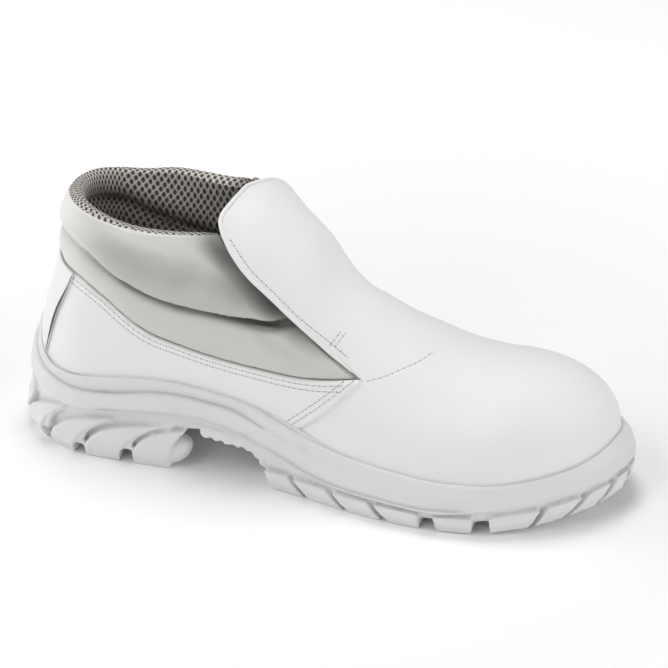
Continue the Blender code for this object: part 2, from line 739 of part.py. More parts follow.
def lug_edge(row, share, leading):
    """Walk and height above the floor along the leading or trailing edge of a side lug."""
    foot = row.foot_from if leading else row.foot_to
    head = row.head_from if leading else row.head_to
    bow = LEAF_BOW_LEADING if leading else LEAF_BOW_TRAILING
    swell = LEAF_SWELL_LEADING if leading else LEAF_SWELL_TRAILING
    bend = bow * (head - foot) if row.leaf else 0.0
    start = (1 - share) ** 2
    middle = 2 * share * (1 - share)
    walk = start * foot + middle * (0.5 * (foot + head) + bend) + share**2 * head
    rise = middle * (0.5 + swell * row.leaf) + share**2
    return walk, row.lift + rise * (row.height - row.lift)


def add_side_lug(work, row, side):
    """A lug as a block let into the side of the slab, its foot on the floor."""
    steps = 6 if row.leaf else 2
    outer = []
    inner = []
    for step in range(steps + 1):
        share = step / steps
        for leading in (True, False):
            walk, rise = lug_edge(row, share, leading)
            at = on_side(walk, side)
            x = edge_x(at)
            half, _ = half_walk(at)
            bevel = LUG_BEVEL + HEEL_BEVEL * ease(1.0 - half / HEEL_ARC)
            reach = sole_reach(at) + LUG_STANDS_OUT - row.set_in
            reach -= bevel * (1.0 - min(1.0, rise / BEVEL_HEIGHT)) ** 2
            reach -= heel_flare(at) * ease((rise - 8.0) / 18.0)
            reach -= LUG_TAIL_SINKS * max(0.0, share - 0.5) * 2.0 * row.leaf
            deep = reach - row.depth
            outer.append(work.point(placed(at, reach, floor_height(x) + rise)))
            inside = placed(at, deep, 0.0)
            inner.append(work.point(placed(at, deep, floor_height(inside[0]) + rise)))
    for face in (outer, inner):
        for i in range(0, 2 * steps, 2):
            work.face((face[i], face[i + 1], face[i + 3], face[i + 2]))
    loop = list(range(0, 2 * steps + 1, 2)) + list(range(2 * steps + 1, 0, -2))
    for a, b in zip(loop, loop[1:] + loop[:1]):
        work.face((outer[a], outer[b], inner[b], inner[a]))


def add_block(work, row):
    """A plain block of the tread, down the middle of the sole."""
    corners = []
    for z_top in (False, True):
        for x, y in ((0, 0), (1, 0), (1, 1), (0, 1)):
            along_x = row.x_from + (row.x_to - row.x_from) * x
            across = row.y_from + (row.y_to - row.y_from) * y
            z = slab_bottom(along_x) + 2.0 if z_top else floor_height(along_x)
            corners.append(work.point((along_x, across + spine_y(along_x), z)))
    for a, b, c, d in ((0, 3, 2, 1), (4, 5, 6, 7), (0, 1, 5, 4), (1, 2, 6, 5), (2, 3, 7, 6), (3, 0, 4, 7)):
        work.face((corners[a], corners[b], corners[c], corners[d]))


def make_outsole():
    work = Patchwork()
    walks = round_walks(SOLE_SIDE_STATIONS)
    rows = [[] for _ in range(3)]
    for walk in walks:
        x = edge_x(walk)
        widest = sole_reach(walk) - outsole_recess(x)
        top = parting(x) - 2.0 * FIT_GAP
        low = slab_bottom(x)
        profile = (
            (widest - 1.6, low),
            (widest - 0.4 * heel_flare(walk), 0.5 * (top + low)),
            (widest - heel_flare(walk), top),
        )
        for row, (reach, z) in zip(rows, profile):
            row.append(work.point(placed(walk, reach, z)))
    work.ring(rows)
    cap(work, walks, rows[0], slab_bottom, False)
    cap(work, walks, rows[-1], lambda x: parting(x) - FIT_GAP, True)
    slab = make("outsole", work, (0.70, 0.70, 0.69), 0.6)
    lugs = Patchwork()
    for row in SIDE_LUGS:
        for side in (-1, 1):
            add_side_lug(lugs, row, side)
    for row in BLOCKS:
        add_block(lugs, row)
    tread = make("tread_blocks", lugs, (0.70, 0.70, 0.69), 0.6)
    tread.hide_render = True
    tread.display_type = "WIRE"
    join = slab.modifiers.new("lugs", "BOOLEAN")
    join.operation = "UNION"
    join.solver = "EXACT"
    join.use_self = True
    join.object = tread
    return slab


def make_back_strap():
    work = Patchwork()
    rows = 8
    columns = 10
    grid = []
    for row in range(rows + 1):
        line = []
        for column in range(columns + 1):
            across = 1.0 - 2.0 * column / columns
            turn = 40.0
            for _ in range(6):
                walk = walk_of("heel", turn)
                low = feather(walk * abs(across)) + STRAP_CLEARS_SOLE
                high = quarter_edge(walk * abs(across)) + 0.6
                z = low + (high - low) * row / rows
                turn = math.degrees(math.asin(min(0.95, STRAP_HALF_WIDTH / wall_reach(walk, z))))
            walk = on_side(walk_of("heel", turn) * abs(across), 1 if across > 0 else -1)
            line.append(work.point(on_wall(walk, z)))
        grid.append(line)
    work.grid(grid)
    seat = QUARTER_STEP + FIT_GAP
    work.thicken(lambda i: seat + STRAP_THICKNESS, lambda i: -seat)
    return make("back_strap", work, (0.80, 0.80, 0.79), 0.5)


def flap_edge_x(z):
    """Length at which the flap's free edge stands at a height."""
    spots = np.linspace(FLAP_EDGE[0].x, COLLAR_STOPS_X, 41)
    return float(np.interp(-z, [-flap_edge(x) for x in spots], spots))


class CollarColumn:
    """A line up the collar on the surface of the last, from its tucked foot to its rim.

    Round the heel and ankle it stands at one walk. Along the side it leans over toward the free edge of
    the flap, by a reach of 0 to 1, and under the flap it leans on toward the ridge in the same way.
    """

    def __init__(self, side, walk=None, reach=0.0, under=0.0):
        self.side = side
        self.walk = walk
        self.reach = reach
        self.under = under
        foot_walk = head_walk = walk
        if walk is None:
            foot_walk = walk_of("side", self.leaning(0.0))
            head_walk = walk_of("side", self.leaning(FLAP_EDGE[0].height))
        self.foot = quarter_edge(foot_walk) - COLLAR_TUCK
        rim = rim_height(head_walk)
        if side > 0:
            rim += (rim_height_medial(head_walk) - rim) * (1.0 - under)
        self.height = rim - self.foot
        self.edge = COLLAR_TUCK / self.height
        self.crease = (roll_crease(head_walk) - self.foot) / self.height

    def leaning(self, z):
        """Length reached at a height by a column of the side."""
        return COLLAR_FRONT_STARTS + (flap_edge_x(z) - COLLAR_OFF_FLAP - COLLAR_FRONT_STARTS) * self.reach

    def where(self, share):
        """Walk, and the share of the arch there, or the height where the last is an open wall."""
        z = self.foot + share * self.height
        if self.walk is not None:
            return self.walk, z
        x = self.leaning(z)
        if not self.under:
            return walk_of("side", x), z
        start = arch_share(on_side(walk_of("side", x), self.side), z)
        ridge_x = COLLAR_FRONT_FOOT_X + (COLLAR_FRONT_RIM_X - COLLAR_FRONT_FOOT_X) * share
        return walk_of("side", x + (ridge_x - x) * self.under), start + (1.0 - start) * self.under

    def surface(self, walk, level):
        at = on_side(walk, self.side)
        return on_arch(at, level) if self.under else on_wall(at, level)

    def point(self, share):
        return self.surface(*self.where(share))

    def normal(self, share):
        walk, level = self.where(share)
        nudge = 0.01 if self.under else 0.5
        top = min(level + nudge, 1.0) if self.under else level + nudge
        ahead = self.surface(walk + 0.5, level) - self.surface(walk - 0.5, level)
        upward = self.surface(walk, top) - self.surface(walk, top - 2 * nudge)
        normal = np.cross(ahead, upward) * -self.side
        return normal / np.linalg.norm(normal)

    def upward(self, share):
        step = self.point(share) - self.point(share - 0.03)
        return step / np.linalg.norm(step)

    def tucked(self, share):
        """Level of the collar where the quarter, the vamp or the flap lies over it."""
        x = HEEL_PIVOT + self.where(share)[0] - HEEL_ARC
        lift = flap_lift(x) if self.reach == 1.0 else 0.0
        return lift - UPPER_WALL - COLLAR_CLEARANCE

    def outer(self, share):
        """Level of the outer side: two padded rolls with a crease between them."""
        if self.reach == 1.0 or share <= self.edge + 0.5 / self.height:
            return self.tucked(share)
        if share < self.crease:
            part = (share - self.edge) / (self.crease - self.edge)
            return (LOWER_ROLL + ROLL_CREASE) * math.sqrt(math.sin(math.pi * part)) - ROLL_CREASE
        part = (share - self.crease) / (1.0 - self.crease)
        if part < 0.5:
            return (UPPER_ROLL + ROLL_CREASE) * math.sqrt(math.sin(math.pi * part)) - ROLL_CREASE
        return (UPPER_ROLL - COLLAR_RIM_IN) * math.sin(math.pi * part) + COLLAR_RIM_IN

    def inner(self, share):
        """Level of the inner side: padded round the ankle, thin under the flap."""
        padded = -COLLAR_PAD * ease((share - 0.5 * self.edge) / 0.3)
        depth = min(self.tucked(share) - COLLAR_SKIRT, padded)
        thin = self.tucked(share) - COLLAR_GUSSET
        return depth + (thin - depth) * ease(2.0 * self.reach - 1.0)

    def spot(self, share, level, rise=0.0):
        place = self.point(share) + self.normal(share) * level
        return place + self.upward(share) * rise if rise else place


def collar_columns(side):
    start = walk_of("side", COLLAR_FRONT_STARTS)
    walks = walks_between(0.0, HEEL_ARC, HEEL_COLUMNS) + walks_between(HEEL_ARC, start, 6)[1:]
    columns = [CollarColumn(side, walk=walk) for walk in walks]
    columns += [CollarColumn(side, reach=reach) for reach in COLLAR_LEANS]
    columns += [CollarColumn(side, reach=1.0, under=under) for under in walks_between(0.0, 1.0, 5)[1:]]
    return columns


def make_collar():
    work = Patchwork()
    columns = collar_columns(-1) + list(reversed(collar_columns(1)[1:-1]))
    lines = []
    for column in columns:
        edge = column.edge
        crease = column.crease
        outside = [0.0, edge + 0.4 / column.height, edge + 1.2 / column.height]
        outside += [edge + (crease - edge) * part for part in (0.2, 0.4, 0.65, 0.87)]
        outside += [crease] + [crease + (1.0 - crease) * part for part in (0.1, 0.3, 0.55, 0.8, 1.0)]
        inside = [1.0, 0.4 * crease + 0.6, crease, 0.5 * (edge + crease), edge, 0.0]
        line = [work.point(column.spot(share, column.outer(share))) for share in outside]
        middle = 0.5 * (column.outer(1.0) + column.inner(1.0))
        radius = 0.5 * (column.outer(1.0) - column.inner(1.0))
        for turn in (35.0, 90.0, 145.0):
            level = middle + radius * math.cos(math.radians(turn))
            rise = 0.8 * radius * math.sin(math.radians(turn))
            line.append(work.point(column.spot(1.0, level, rise)))
        line += [work.point(column.spot(share, column.inner(share))) for share in inside]
        lines.append(line)
    work.ring(lines + [lines[0]])
    return make("collar", work, (0.72, 0.71, 0.69), 0.6)


make_outsole()
make_midsole()
make_insole()
make_upper()
make_collar()
make_back_strap()
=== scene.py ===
"""Looks of a white pull-on safety shoe for the right foot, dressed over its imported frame.

Lengths are in metres, the toe points to +X and the lateral side to -Y. Lines drawn on the side of the
shoe are given as length and height in millimetres, as on a paper pattern, and are laid on the surface.
"""

import math
from collections import namedtuple

import bmesh
import bpy
import numpy as np
from mathutils import Matrix, Vector
from mathutils.bvhtree import BVHTree


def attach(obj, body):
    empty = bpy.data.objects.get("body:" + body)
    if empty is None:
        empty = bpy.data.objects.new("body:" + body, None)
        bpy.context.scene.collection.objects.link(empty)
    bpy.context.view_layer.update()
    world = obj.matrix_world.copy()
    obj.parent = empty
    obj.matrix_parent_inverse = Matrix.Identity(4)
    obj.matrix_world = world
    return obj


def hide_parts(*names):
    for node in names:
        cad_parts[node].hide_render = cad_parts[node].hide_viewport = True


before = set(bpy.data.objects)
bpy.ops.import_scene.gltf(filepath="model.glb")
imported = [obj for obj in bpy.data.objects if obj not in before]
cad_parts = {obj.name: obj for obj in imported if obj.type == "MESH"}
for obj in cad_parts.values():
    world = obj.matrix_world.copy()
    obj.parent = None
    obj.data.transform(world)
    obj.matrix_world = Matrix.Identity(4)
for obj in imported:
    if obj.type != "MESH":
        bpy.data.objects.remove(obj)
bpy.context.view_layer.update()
MM = 0.001

# Loose triangles of the frame are merged at a distance and paired to quads, angles in degrees
MERGE_DISTANCE = 0.01 * MM
PAIR_FLATNESS = 40.0
PAIR_SQUARENESS = 70.0

# The camera stands where the photograph was taken from: turned toward the toe and looking down
PHOTO_WIDTH = 668
VIEW_TURN = math.radians(18.67)
VIEW_DROP = math.radians(30.15)
VIEW_DISTANCE = 2.5
PIXELS_PER_MM = 2.094
LOOKED_AT = Vector((4.8, -0.1, 55.0)) * MM
LOOKED_AT_PIXEL = (333.3, 358.6)
SENSOR_WIDTH = 36.0
NEAREST_SEEN = 0.05

# Soft boxes round the shoe, all turned toward it: place and size in metres, power in watts
Lamp = namedtuple("Lamp", "name place size power")
LAMPS = (
    Lamp("top_back", (-0.1, 0.3, 1.3), 0.6, 7.5),
    Lamp("side_left", (-1.5, -0.25, 0.75), 1.0, 10.0),
    Lamp("side_right", (1.5, -0.25, 0.75), 1.0, 10.0),
    Lamp("front_high", (-0.45, -0.85, 1.15), 0.7, 4.2),
    Lamp("front_low", (-0.3, -1.6, 0.45), 1.0, 3.0),
)
AIR_STRENGTH = 0.20

# The floor is a wide white sheet that glows faintly away from the shoe, like a lit studio sweep
FLOOR_SIZE = 12.0
FLOOR_GLOW = 0.14
FLOOR_GLOW_FROM = 0.2
FLOOR_GLOW_FULL = 0.4

# Round the ankle the collar is a long oval: a half circle at the heel and two straight sides
HEEL_CENTRE_X = -107.0 * MM
OVAL_RADIUS = 27.0 * MM

# Middle of the room for the foot: length and width of its line in millimetres, its front end, its height
SPINE = ((-151.0, 0.0), (-36.0, 0.0), (25.0, 3.0), (87.0, 6.0), (151.0, 6.0))
TOE_CENTRE_X = 87.0 * MM
CORE_HEIGHT = 45.0 * MM

# The collar is paler round the heel, up to a slanted line: painted light
HEEL_LIGHT_SLANT = 0.45
HEEL_LIGHT_FULL = -92.0 * MM
HEEL_LIGHT_ENDS = -40.0 * MM

# Knitted lining: pitch of its holes, size of a hole in waves of the net, where it pales toward the rim
# as painted light
KNIT_ROUND = 3.4 * MM
KNIT_UP = 6.0 * MM
HOLE_STARTS = 0.5
HOLE_FULL = 1.5
RIM_LIGHT_FROM = 100.0 * MM
RIM_LIGHT_FULL = 128.0 * MM

# Crest of the collar's rim: how far out it stands along the shoe in millimetres, and the knit's end
RIM_CREST = ((-130.0, 16.5), (-107.0, 20.0), (-87.0, 26.5), (-60.0, 26.0), (-40.0, 22.0))
KNIT_ENDS_Z = 118.0 * MM
KNIT_PACE_OVER_RIM = 1.8

# Faces of the collar that are knitted: over the rim they look up and not far out, inside they look in
RIM_LOOKS_UP = 0.35
RIM_LOOKS_OUT = 0.42
LINING_LOOKS_OUT = -0.1

# Pattern lines are laid on the shoe from a place well beside it
BESIDE_SHOE = 0.2

# Pattern lines on the side of the shoe, length and height in millimetres
QUARTER_TOP = (
    (-133.5, 93.4), (-124.0, 92.4), (-107.2, 88.0), (-97.2, 83.0), (-88.7, 77.6), (-77.7, 71.8),
    (-61.7, 68.2), (-45.7, 65.2), (-20.7, 63.0), (4.3, 62.6), (29.3, 65.4),
)
FLAP_EDGE = (
    (-41.5, 126.6), (-37.7, 122.4), (-28.7, 112.8), (-16.7, 102.4), (-4.7, 91.2), (6.3, 81.2),
    (15.3, 74.4), (22.3, 70.0), (28.8, 65.4),
)
ROLL_CREASE = (
    (-135.0, 113.6), (-124.0, 113.0), (-107.2, 108.6), (-97.2, 103.4), (-88.7, 100.2), (-77.7, 96.8),
    (-61.7, 93.8), (-45.7, 93.2), (-27.4, 91.6), (-10.7, 90.4), (30.0, 89.4),
)
LAP_SEAM = ((27.0, 64.0), (5.65, 44.3), (-15.7, 24.6))
VAMP_LINE = ((32.6, 65.3), (40.2, 67.5), (46.6, 69.9), (52.7, 71.7), (57.8, 73.5))
BAR_TACK = ((12.8, 79.4), (16.8, 85.4))
BAR_TACK_SHIFTS = ((0.0, 0.0), (2.3, -0.6))

# Rows of stitches: how far beside their lines they run in millimetres, and the part of a line they take
QUARTER_ROWS = (1.8, 4.4)
QUARTER_PART = slice(8, -10)
LAP_ROWS = (1.6, 4.2)
LAP_ROWS_END_Z = 36.5
FLAP_ROW_AT_TOP = -5.2
FLAP_ROW_AT_FOOT = -2.6
FLAP_PART = slice(6, -16)
MEDIAL_VAMP_PART = slice(0, 36)
FEWEST_IN_ROW = 3

STITCH_PITCH = 3.0 * MM
STITCH_WIDTH = 0.78 * MM
STITCH_SIZE = (0.66 * STITCH_PITCH, STITCH_WIDTH, 0.7 * STITCH_WIDTH)
STITCH_SINKS = 0.18 * STITCH_WIDTH
NEEDLE_HOLE = 0.42 * MM
NEEDLE_HOLE_STRETCH = (1.25, 1.0, 0.3)

# Cut edges stay crisp where they are sharper than an angle in degrees
CUT_EDGE_ANGLE = 38.0
CUT_EDGE_CREASE = 0.72
STRAP_EDGE_ANGLE = 40.0
STRAP_EDGE_CREASE = 0.6
SOLE_EDGE_ANGLE = 20.0
SOLE_EDGE_CREASE = 0.9

# Folded edge of the flap: heights and distances in millimetres
FLAP_RIM_RADIUS = 1.0
FLAP_RIM_STANDS = 0.25
FLAP_RIM_NEAR = 5.0
FLAP_RIM_FOOT = 67.0
FLAP_RIM_TOP = 124.0
FLAP_RIM_TURN = 60.0
FLAP_RIM_LOOKS_OUT = 0.25
FLAP_RIM_POINTS = 260

# Bead of foam that squeezes out where the sole is bonded to the upper, in millimetres and degrees
FEATHER_BEAD = 1.4
FEATHER_BEAD_SINKS = 0.75
FEATHER_REACH = 1.3
FEATHER_LOOKS_UP = 0.25
FEATHER_STEP = 4.0
FEATHER_POINTS = 400
SOLE_HALF_LENGTH = 150.0
SOLE_HALF_WIDTH = 50.0

# Lip of the sole: how near the upper it lies in millimetres, and how far it is pulled onto it
LIP_REACH = 1.1
LIP_LOOKS_UP = -0.2
LIP_PULL = 1.1

# Dark cord in the gap along the back strap, as painted shadow, in millimetres: from above its foot to
# below its top
STRAP_GAP_RADIUS = 0.5
STRAP_GAP_FOOT = 1.5
STRAP_GAP_TOP = 5.0
STRAP_GAP_LEVEL = 1.2
STRAP_GAP_POINTS = 36

# An open cord thins out over a few points to a share of its radius at each end
CORD_THIN_END = 0.35
CORD_TAPER_POINTS = 14.0

# Rounded boss at each corner of the heel breast, in millimetres and degrees
BOSS_HALF_SIZE = Vector((9.4, 7.0, 6.2))
BOSS_X = -64.5
BOSS_Y = 30.0
BOSS_Z = 8.7
BOSS_TILT = -42.0

# Ribs across the underside of the waist, length and height in millimetres
WAIST_RIBS = (
    (-47.5, 23.6), (-42.2, 22.8), (-36.8, 21.9), (-31.4, 21.5), (-25.8, 20.2), (-21.2, 17.2),
    (-17.8, 13.0),
)
RIB_RADIUS = 3.2
RIB_LENGTH = 64.0
RIB_MIDDLE_Y = -3.3

# The tread is built again from small cubes, and thinned to a number of triangles
TREAD_VOXEL = 0.8 * MM
TREAD_TRIANGLES = 185000.0

# Painted shade in the grooves: rounds of smoothing that find them, full depth in millimetres, share of
# dark tone
GrooveShade = namedtuple("GrooveShade", "rounds depth most")
SOLE_GROOVE_SHADE = GrooveShade(3, 0.15, 0.5)
TREAD_GROOVE_SHADE = GrooveShade(30, 1.2, 0.8)

# Shapes across the crease of the collar: size, height above the crease and reach, in millimetres
Hump = namedtuple("Hump", "size above reach")
LIP = Hump(2.8, 3.6, 2.9)
HOLLOW = Hump(3.8, 15.5, 6.5)
SAG = Hump(3.0, 2.0, 1.9)
INNER_TUCK = Hump(4.6, 2.0, 3.0)
INNER_SWELL = Hump(2.6, 12.0, 6.5)
TUCK_DEPTH = 7.6
TUCK_REACH_UP = 0.9
TUCK_REACH_DOWN = 3.4

# Where the crease deepens past the heel and eases by the flap, in millimetres and shares of its depth
CREASE_STARTS_X = -120.0
CREASE_DEEPENS_OVER = 30.0
CREASE_AT_HEEL = 0.3
CREASE_EASES_X = -4.0
CREASE_EASES_OVER = 16.0
CREASE_BY_FLAP = 0.35
SIDE_SHARPNESS = 4.0

# Painted shade under the crease's lip, the upper roll and the inner fold, in millimetres and shares
CREASE_DARK = 0.85
CREASE_DARK_AT = -3.2
CREASE_DARK_REACH_UP = 3.4
CREASE_DARK_REACH_HEEL = 1.2
CREASE_DARK_WIDENS_BY = 2.4
CREASE_DARK_WIDENS_X = -107.0
CREASE_DARK_WIDENS_OVER = 25.0
ROLL_DARK = 0.14
ROLL_UNDERSIDE_DARK = Hump(0.24, 9.0, 9.0)
ROLL_PALES_Z = 111.0
ROLL_PALES_OVER = 12.0
INNER_FOLD_DARK = Hump(0.25, 2.0, 3.0)

# Elastic web beside the flap: depth and share of painted flap shadow by height, and its reach, in
# millimetres
WEB_DEPTH = ((66.0, 0.0), (72.0, 1.0), (82.0, 3.2), (98.0, 6.4), (114.0, 6.4), (124.0, 1.5))
FLAP_SHADOW_SHARE = ((70.0, 0.0), (76.0, 0.3), (84.0, 0.6), (94.0, 1.0), (120.0, 1.0), (127.0, 0.7))
WEB_REACH = 8.5
FLAP_SHADOW_REACH = 10.5

# Soft folds in the padded collar: from, to, width and depth in millimetres, and the shape of all of them
Fold = namedtuple("Fold", "from_x from_z to_x to_z width depth")
COLLAR_FOLDS = (
    Fold(-52.0, 121.0, -58.0, 97.0, 7.0, 0.9),
    Fold(-30.0, 92.0, 2.0, 74.0, 4.0, 1.3),
    Fold(-22.0, 82.0, 8.0, 71.0, 5.0, 0.9),
    Fold(-80.0, 112.0, -62.0, 104.0, 9.0, 0.6),
    Fold(-68.0, 80.0, -40.0, 76.0, 8.0, 0.5),
    Fold(-102.0, 117.0, -84.0, 104.0, 8.0, 0.6),
)
FOLD_LOOKS_OUT = 0.15
FOLD_FADE_START = 0.12
FOLD_FADE_SPAN = 0.76
FOLD_BANK = 0.45
FOLD_BANK_AT = 1.6


def put_down_all():
    """Nothing selected and object mode, as before taking up a new piece."""
    if bpy.context.object and bpy.context.object.mode != "OBJECT":
        bpy.ops.object.mode_set(mode="OBJECT")
    bpy.ops.object.select_all(action="DESELECT")


def take_up(piece):
    """One piece alone, selected and active."""
    put_down_all()
    piece.select_set(True)
    bpy.context.view_layer.objects.active = piece


def pattern_from(node, name):
    """A copy of a frame node as a piece of its own, its loose triangles merged into clean faces."""
    piece = bpy.data.objects.new(name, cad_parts[node].data.copy())
    bpy.context.scene.collection.objects.link(piece)
    piece.data.materials.clear()
    take_up(piece)
    bpy.ops.mesh.customdata_custom_splitnormals_clear()
    bpy.ops.object.mode_set(mode="EDIT")
    bpy.ops.mesh.select_all(action="SELECT")
    bpy.ops.mesh.remove_doubles(threshold=MERGE_DISTANCE)
    bpy.ops.mesh.tris_convert_to_quads(
        face_threshold=math.radians(PAIR_FLATNESS), shape_threshold=math.radians(PAIR_SQUARENESS),
    )
    bpy.ops.object.mode_set(mode="OBJECT")
    return piece


def vertex_arrays(piece):
    """Places and facings of a piece's points."""
    count = len(piece.data.vertices)
    places = np.zeros(count * 3)
    facings = np.zeros(count * 3)
    piece.data.vertices.foreach_get("co", places)
    piece.data.vertices.foreach_get("normal", facings)
    return places.reshape(-1, 3), facings.reshape(-1, 3)


def move_to(piece, places):
    """Puts a piece's points at new places."""
    piece.data.vertices.foreach_set("co", places.ravel())
    piece.data.update()


def select_sharp_edges(piece, angle):
    """Edges sharper than an angle selected, with the piece left in edit mode."""
    take_up(piece)
    bpy.ops.object.mode_set(mode="EDIT")
    bpy.ops.mesh.select_mode(type="EDGE")
    bpy.ops.mesh.select_all(action="DESELECT")
    bpy.ops.mesh.edges_select_sharp(sharpness=math.radians(angle))


def keep_edges(piece, angle, crease):
    """Edges sharper than an angle stay crisp under subdivision."""
    select_sharp_edges(piece, angle)
    bpy.ops.transform.edge_crease(value=crease)
    bpy.ops.object.mode_set(mode="OBJECT")


def apply_modifier(piece, kind, **settings):
    """A modifier with its settings, added and applied."""
    take_up(piece)
    modifier = piece.modifiers.new(kind.lower(), kind)
    for setting, value in settings.items():
        setattr(modifier, setting, value)
    bpy.ops.object.modifier_apply(modifier=modifier.name)


def round_over(piece, levels):
    """Subdivision that still passes close to the points of the pattern."""
    wanted, _ = vertex_arrays(piece)
    trial = bpy.data.objects.new("trial", piece.data.copy())
    bpy.context.scene.collection.objects.link(trial)
    apply_modifier(trial, "SUBSURF", levels=levels, render_levels=levels)
    drawn_in, _ = vertex_arrays(trial)
    bpy.data.objects.remove(trial, do_unlink=True)
    move_to(piece, 2.0 * wanted - drawn_in[: len(wanted)])
    apply_modifier(piece, "SUBSURF", levels=levels, render_levels=levels)
    bpy.ops.object.shade_smooth()


def ease(value):
    """Smooth step from 0 to 1."""
    value = np.clip(value, 0.0, 1.0)
    return value * value * (3.0 - 2.0 * value)


def read_off(line, at):
    """The second number of a drawn line at a value of its first."""
    return np.interp(at, [point[0] for point in line], [point[1] for point in line])


def line_through(points, count):
    """Points close together along a smooth line through a few."""
    points = np.array(points, dtype=float)
    run = np.concatenate(([0.0], np.cumsum(np.hypot(*np.diff(points, axis=0).T))))
    slopes = np.gradient(points, run, axis=0)
    spots = np.linspace(0.0, run[-1], count)
    place = np.clip(np.searchsorted(run, spots, side="right") - 1, 0, len(run) - 2)
    span = (run[place + 1] - run[place])[:, None]
    t = ((spots - run[place])[:, None]) / span
    return (
        (1 + 2 * t) * (1 - t) ** 2 * points[place]
        + t * (1 - t) ** 2 * span * slopes[place]
        + t * t * (3 - 2 * t) * points[place + 1]
        + t * t * (t - 1) * span * slopes[place + 1]
    )


def smoothed(line, rounds):
    """A line in space with its points drawn toward their neighbours, its ends kept."""
    for _ in range(rounds):
        line[1:-1] = 0.25 * line[:-2] + 0.5 * line[1:-1] + 0.25 * line[2:]
    return line


def run_along(places):
    """How far along a line in space each of its points lies."""
    return np.concatenate(([0.0], np.cumsum(np.linalg.norm(np.diff(places, axis=0), axis=1))))


def line_in_space(places, count):
    """Points evenly along a smooth line through places in space."""
    run = run_along(places)
    spots = np.linspace(0.0, run[-1], count)
    even = np.stack([np.interp(spots, run, places[:, axis]) for axis in range(3)], axis=1)
    return smoothed(even, rounds=6)


def surface_of(piece):
    """A piece's surface, ready to be searched."""
    return BVHTree.FromObject(piece, bpy.context.evaluated_depsgraph_get())


def lay_on_side(surface, line, side):
    """A pattern line laid on the lateral (-1) or medial (+1) side: places and the surface's facing."""
    laid = []
    for x, z in line:
        start = Vector((x * MM, side * BESIDE_SHOE, z * MM))
        place, facing, _, _ = surface.ray_cast(start, Vector((0.0, -side, 0.0)))
        if place is not None and place.y * side > 0.0:
            laid.append((place, facing))
    return laid


def shifted(line, across):
    """The same line moved sideways, to its right as it runs, by one distance or one for each point."""
    line = np.array(line, dtype=float)
    ahead = np.gradient(line, axis=0)
    ahead /= np.linalg.norm(ahead, axis=1)[:, None]
    return line + np.stack((ahead[:, 1], -ahead[:, 0]), axis=1) * np.reshape(across, (-1, 1))


# Finishes
def new_finish(name):
    """An empty material with its node tree and its shader."""
    material = bpy.data.materials.new(name)
    material.use_nodes = True
    shader = next(n for n in material.node_tree.nodes if n.type == "BSDF_PRINCIPLED")
    return material, material.node_tree, shader


def add_node(tree, kind, **sockets):
    """A node with values on its sockets, a space in a socket's name written as an underscore."""
    node = tree.nodes.new(kind)
    for socket, value in sockets.items():
        node.inputs[socket.replace("_", " ")].default_value = value
    return node


def worked_out(tree, operation, *terms):
    """A number worked out from linked values and plain numbers."""
    node = tree.nodes.new("ShaderNodeMath")
    node.operation = operation
    for socket, term in zip(node.inputs, terms):
        if isinstance(term, float):
            socket.default_value = term
        else:
            tree.links.new(term, socket)
    return node.outputs[0]


def split_up(tree, where):
    """The three parts of a coordinate."""
    split = tree.nodes.new("ShaderNodeSeparateXYZ")
    tree.links.new(where, split.inputs["Vector"])
    return split.outputs


def eased_over(tree, value, **limits):
    """A number that runs smoothly between limits with a value."""
    share = add_node(tree, "ShaderNodeMapRange", **limits)
    share.interpolation_type = "SMOOTHSTEP"
    tree.links.new(value, share.inputs["Value"])
    return share.outputs["Result"]


def cloudy(tree, where, scale, detail=3.0):
    """Soft cloudy noise on a coordinate."""
    noise = add_node(tree, "ShaderNodeTexNoise", Scale=scale, Detail=detail)
    tree.links.new(where, noise.inputs["Vector"])
    return noise.outputs["Fac"]


def between(tree, factor, low, high):
    """A number that runs from low to high with a factor."""
    spread = add_node(tree, "ShaderNodeMapRange", To_Min=low, To_Max=high)
    tree.links.new(factor, spread.inputs["Value"])
    return spread.outputs["Result"]


def tinted(tree, factor, low, high):
    """A colour that runs between two with a factor."""
    mix = tree.nodes.new("ShaderNodeMix")
    mix.data_type = "RGBA"
    mix.inputs["A"].default_value = (*low, 1.0)
    mix.inputs["B"].default_value = (*high, 1.0)
    tree.links.new(factor, mix.inputs["Factor"])
    return mix.outputs["Result"]


def raise_bumps(tree, shader, heights):
    """Bumps on the surface from heights, each with its depth in metres."""
    normal = None
    for height, depth in heights:
        bump = add_node(tree, "ShaderNodeBump", Strength=1.0, Distance=depth)
        tree.links.new(height, bump.inputs["Height"])
        if normal is not None:
            tree.links.new(normal, bump.inputs["Normal"])
        normal = bump.outputs["Normal"]
    tree.links.new(normal, shader.inputs["Normal"])


def fading_to(tree, colour, other, share):
    """A colour that gives way to another one by a share."""
    mix = tree.nodes.new("ShaderNodeMix")
    mix.data_type = "RGBA"
    mix.inputs["B"].default_value = (*other, 1.0)
    tree.links.new(colour, mix.inputs["A"])
    tree.links.new(share, mix.inputs["Factor"])
    return mix.outputs["Result"]


def painted_light_at_heel(tree, where, colour, pale):
    """A colour that fades to a paler one round the back of the heel, further along the lower roll:
    painted light.
    """
    parts = split_up(tree, where)
    slanted = worked_out(tree, "MULTIPLY_ADD", parts["Z"], HEEL_LIGHT_SLANT, parts["X"])
    share = eased_over(
        tree, slanted, From_Min=HEEL_LIGHT_FULL, From_Max=HEEL_LIGHT_ENDS, To_Min=1.0, To_Max=0.0,
    )
    return fading_to(tree, colour, pale, share)


def with_painted_shade(tree, colour, dark):
    """A colour that turns dark where the piece says so: painted shade in its creases, beside the flap
    and in its grooves.
    """
    share = tree.nodes.new("ShaderNodeAttribute")
    share.attribute_name = "painted_shade_share"
    return fading_to(tree, colour, dark, share.outputs["Fac"])


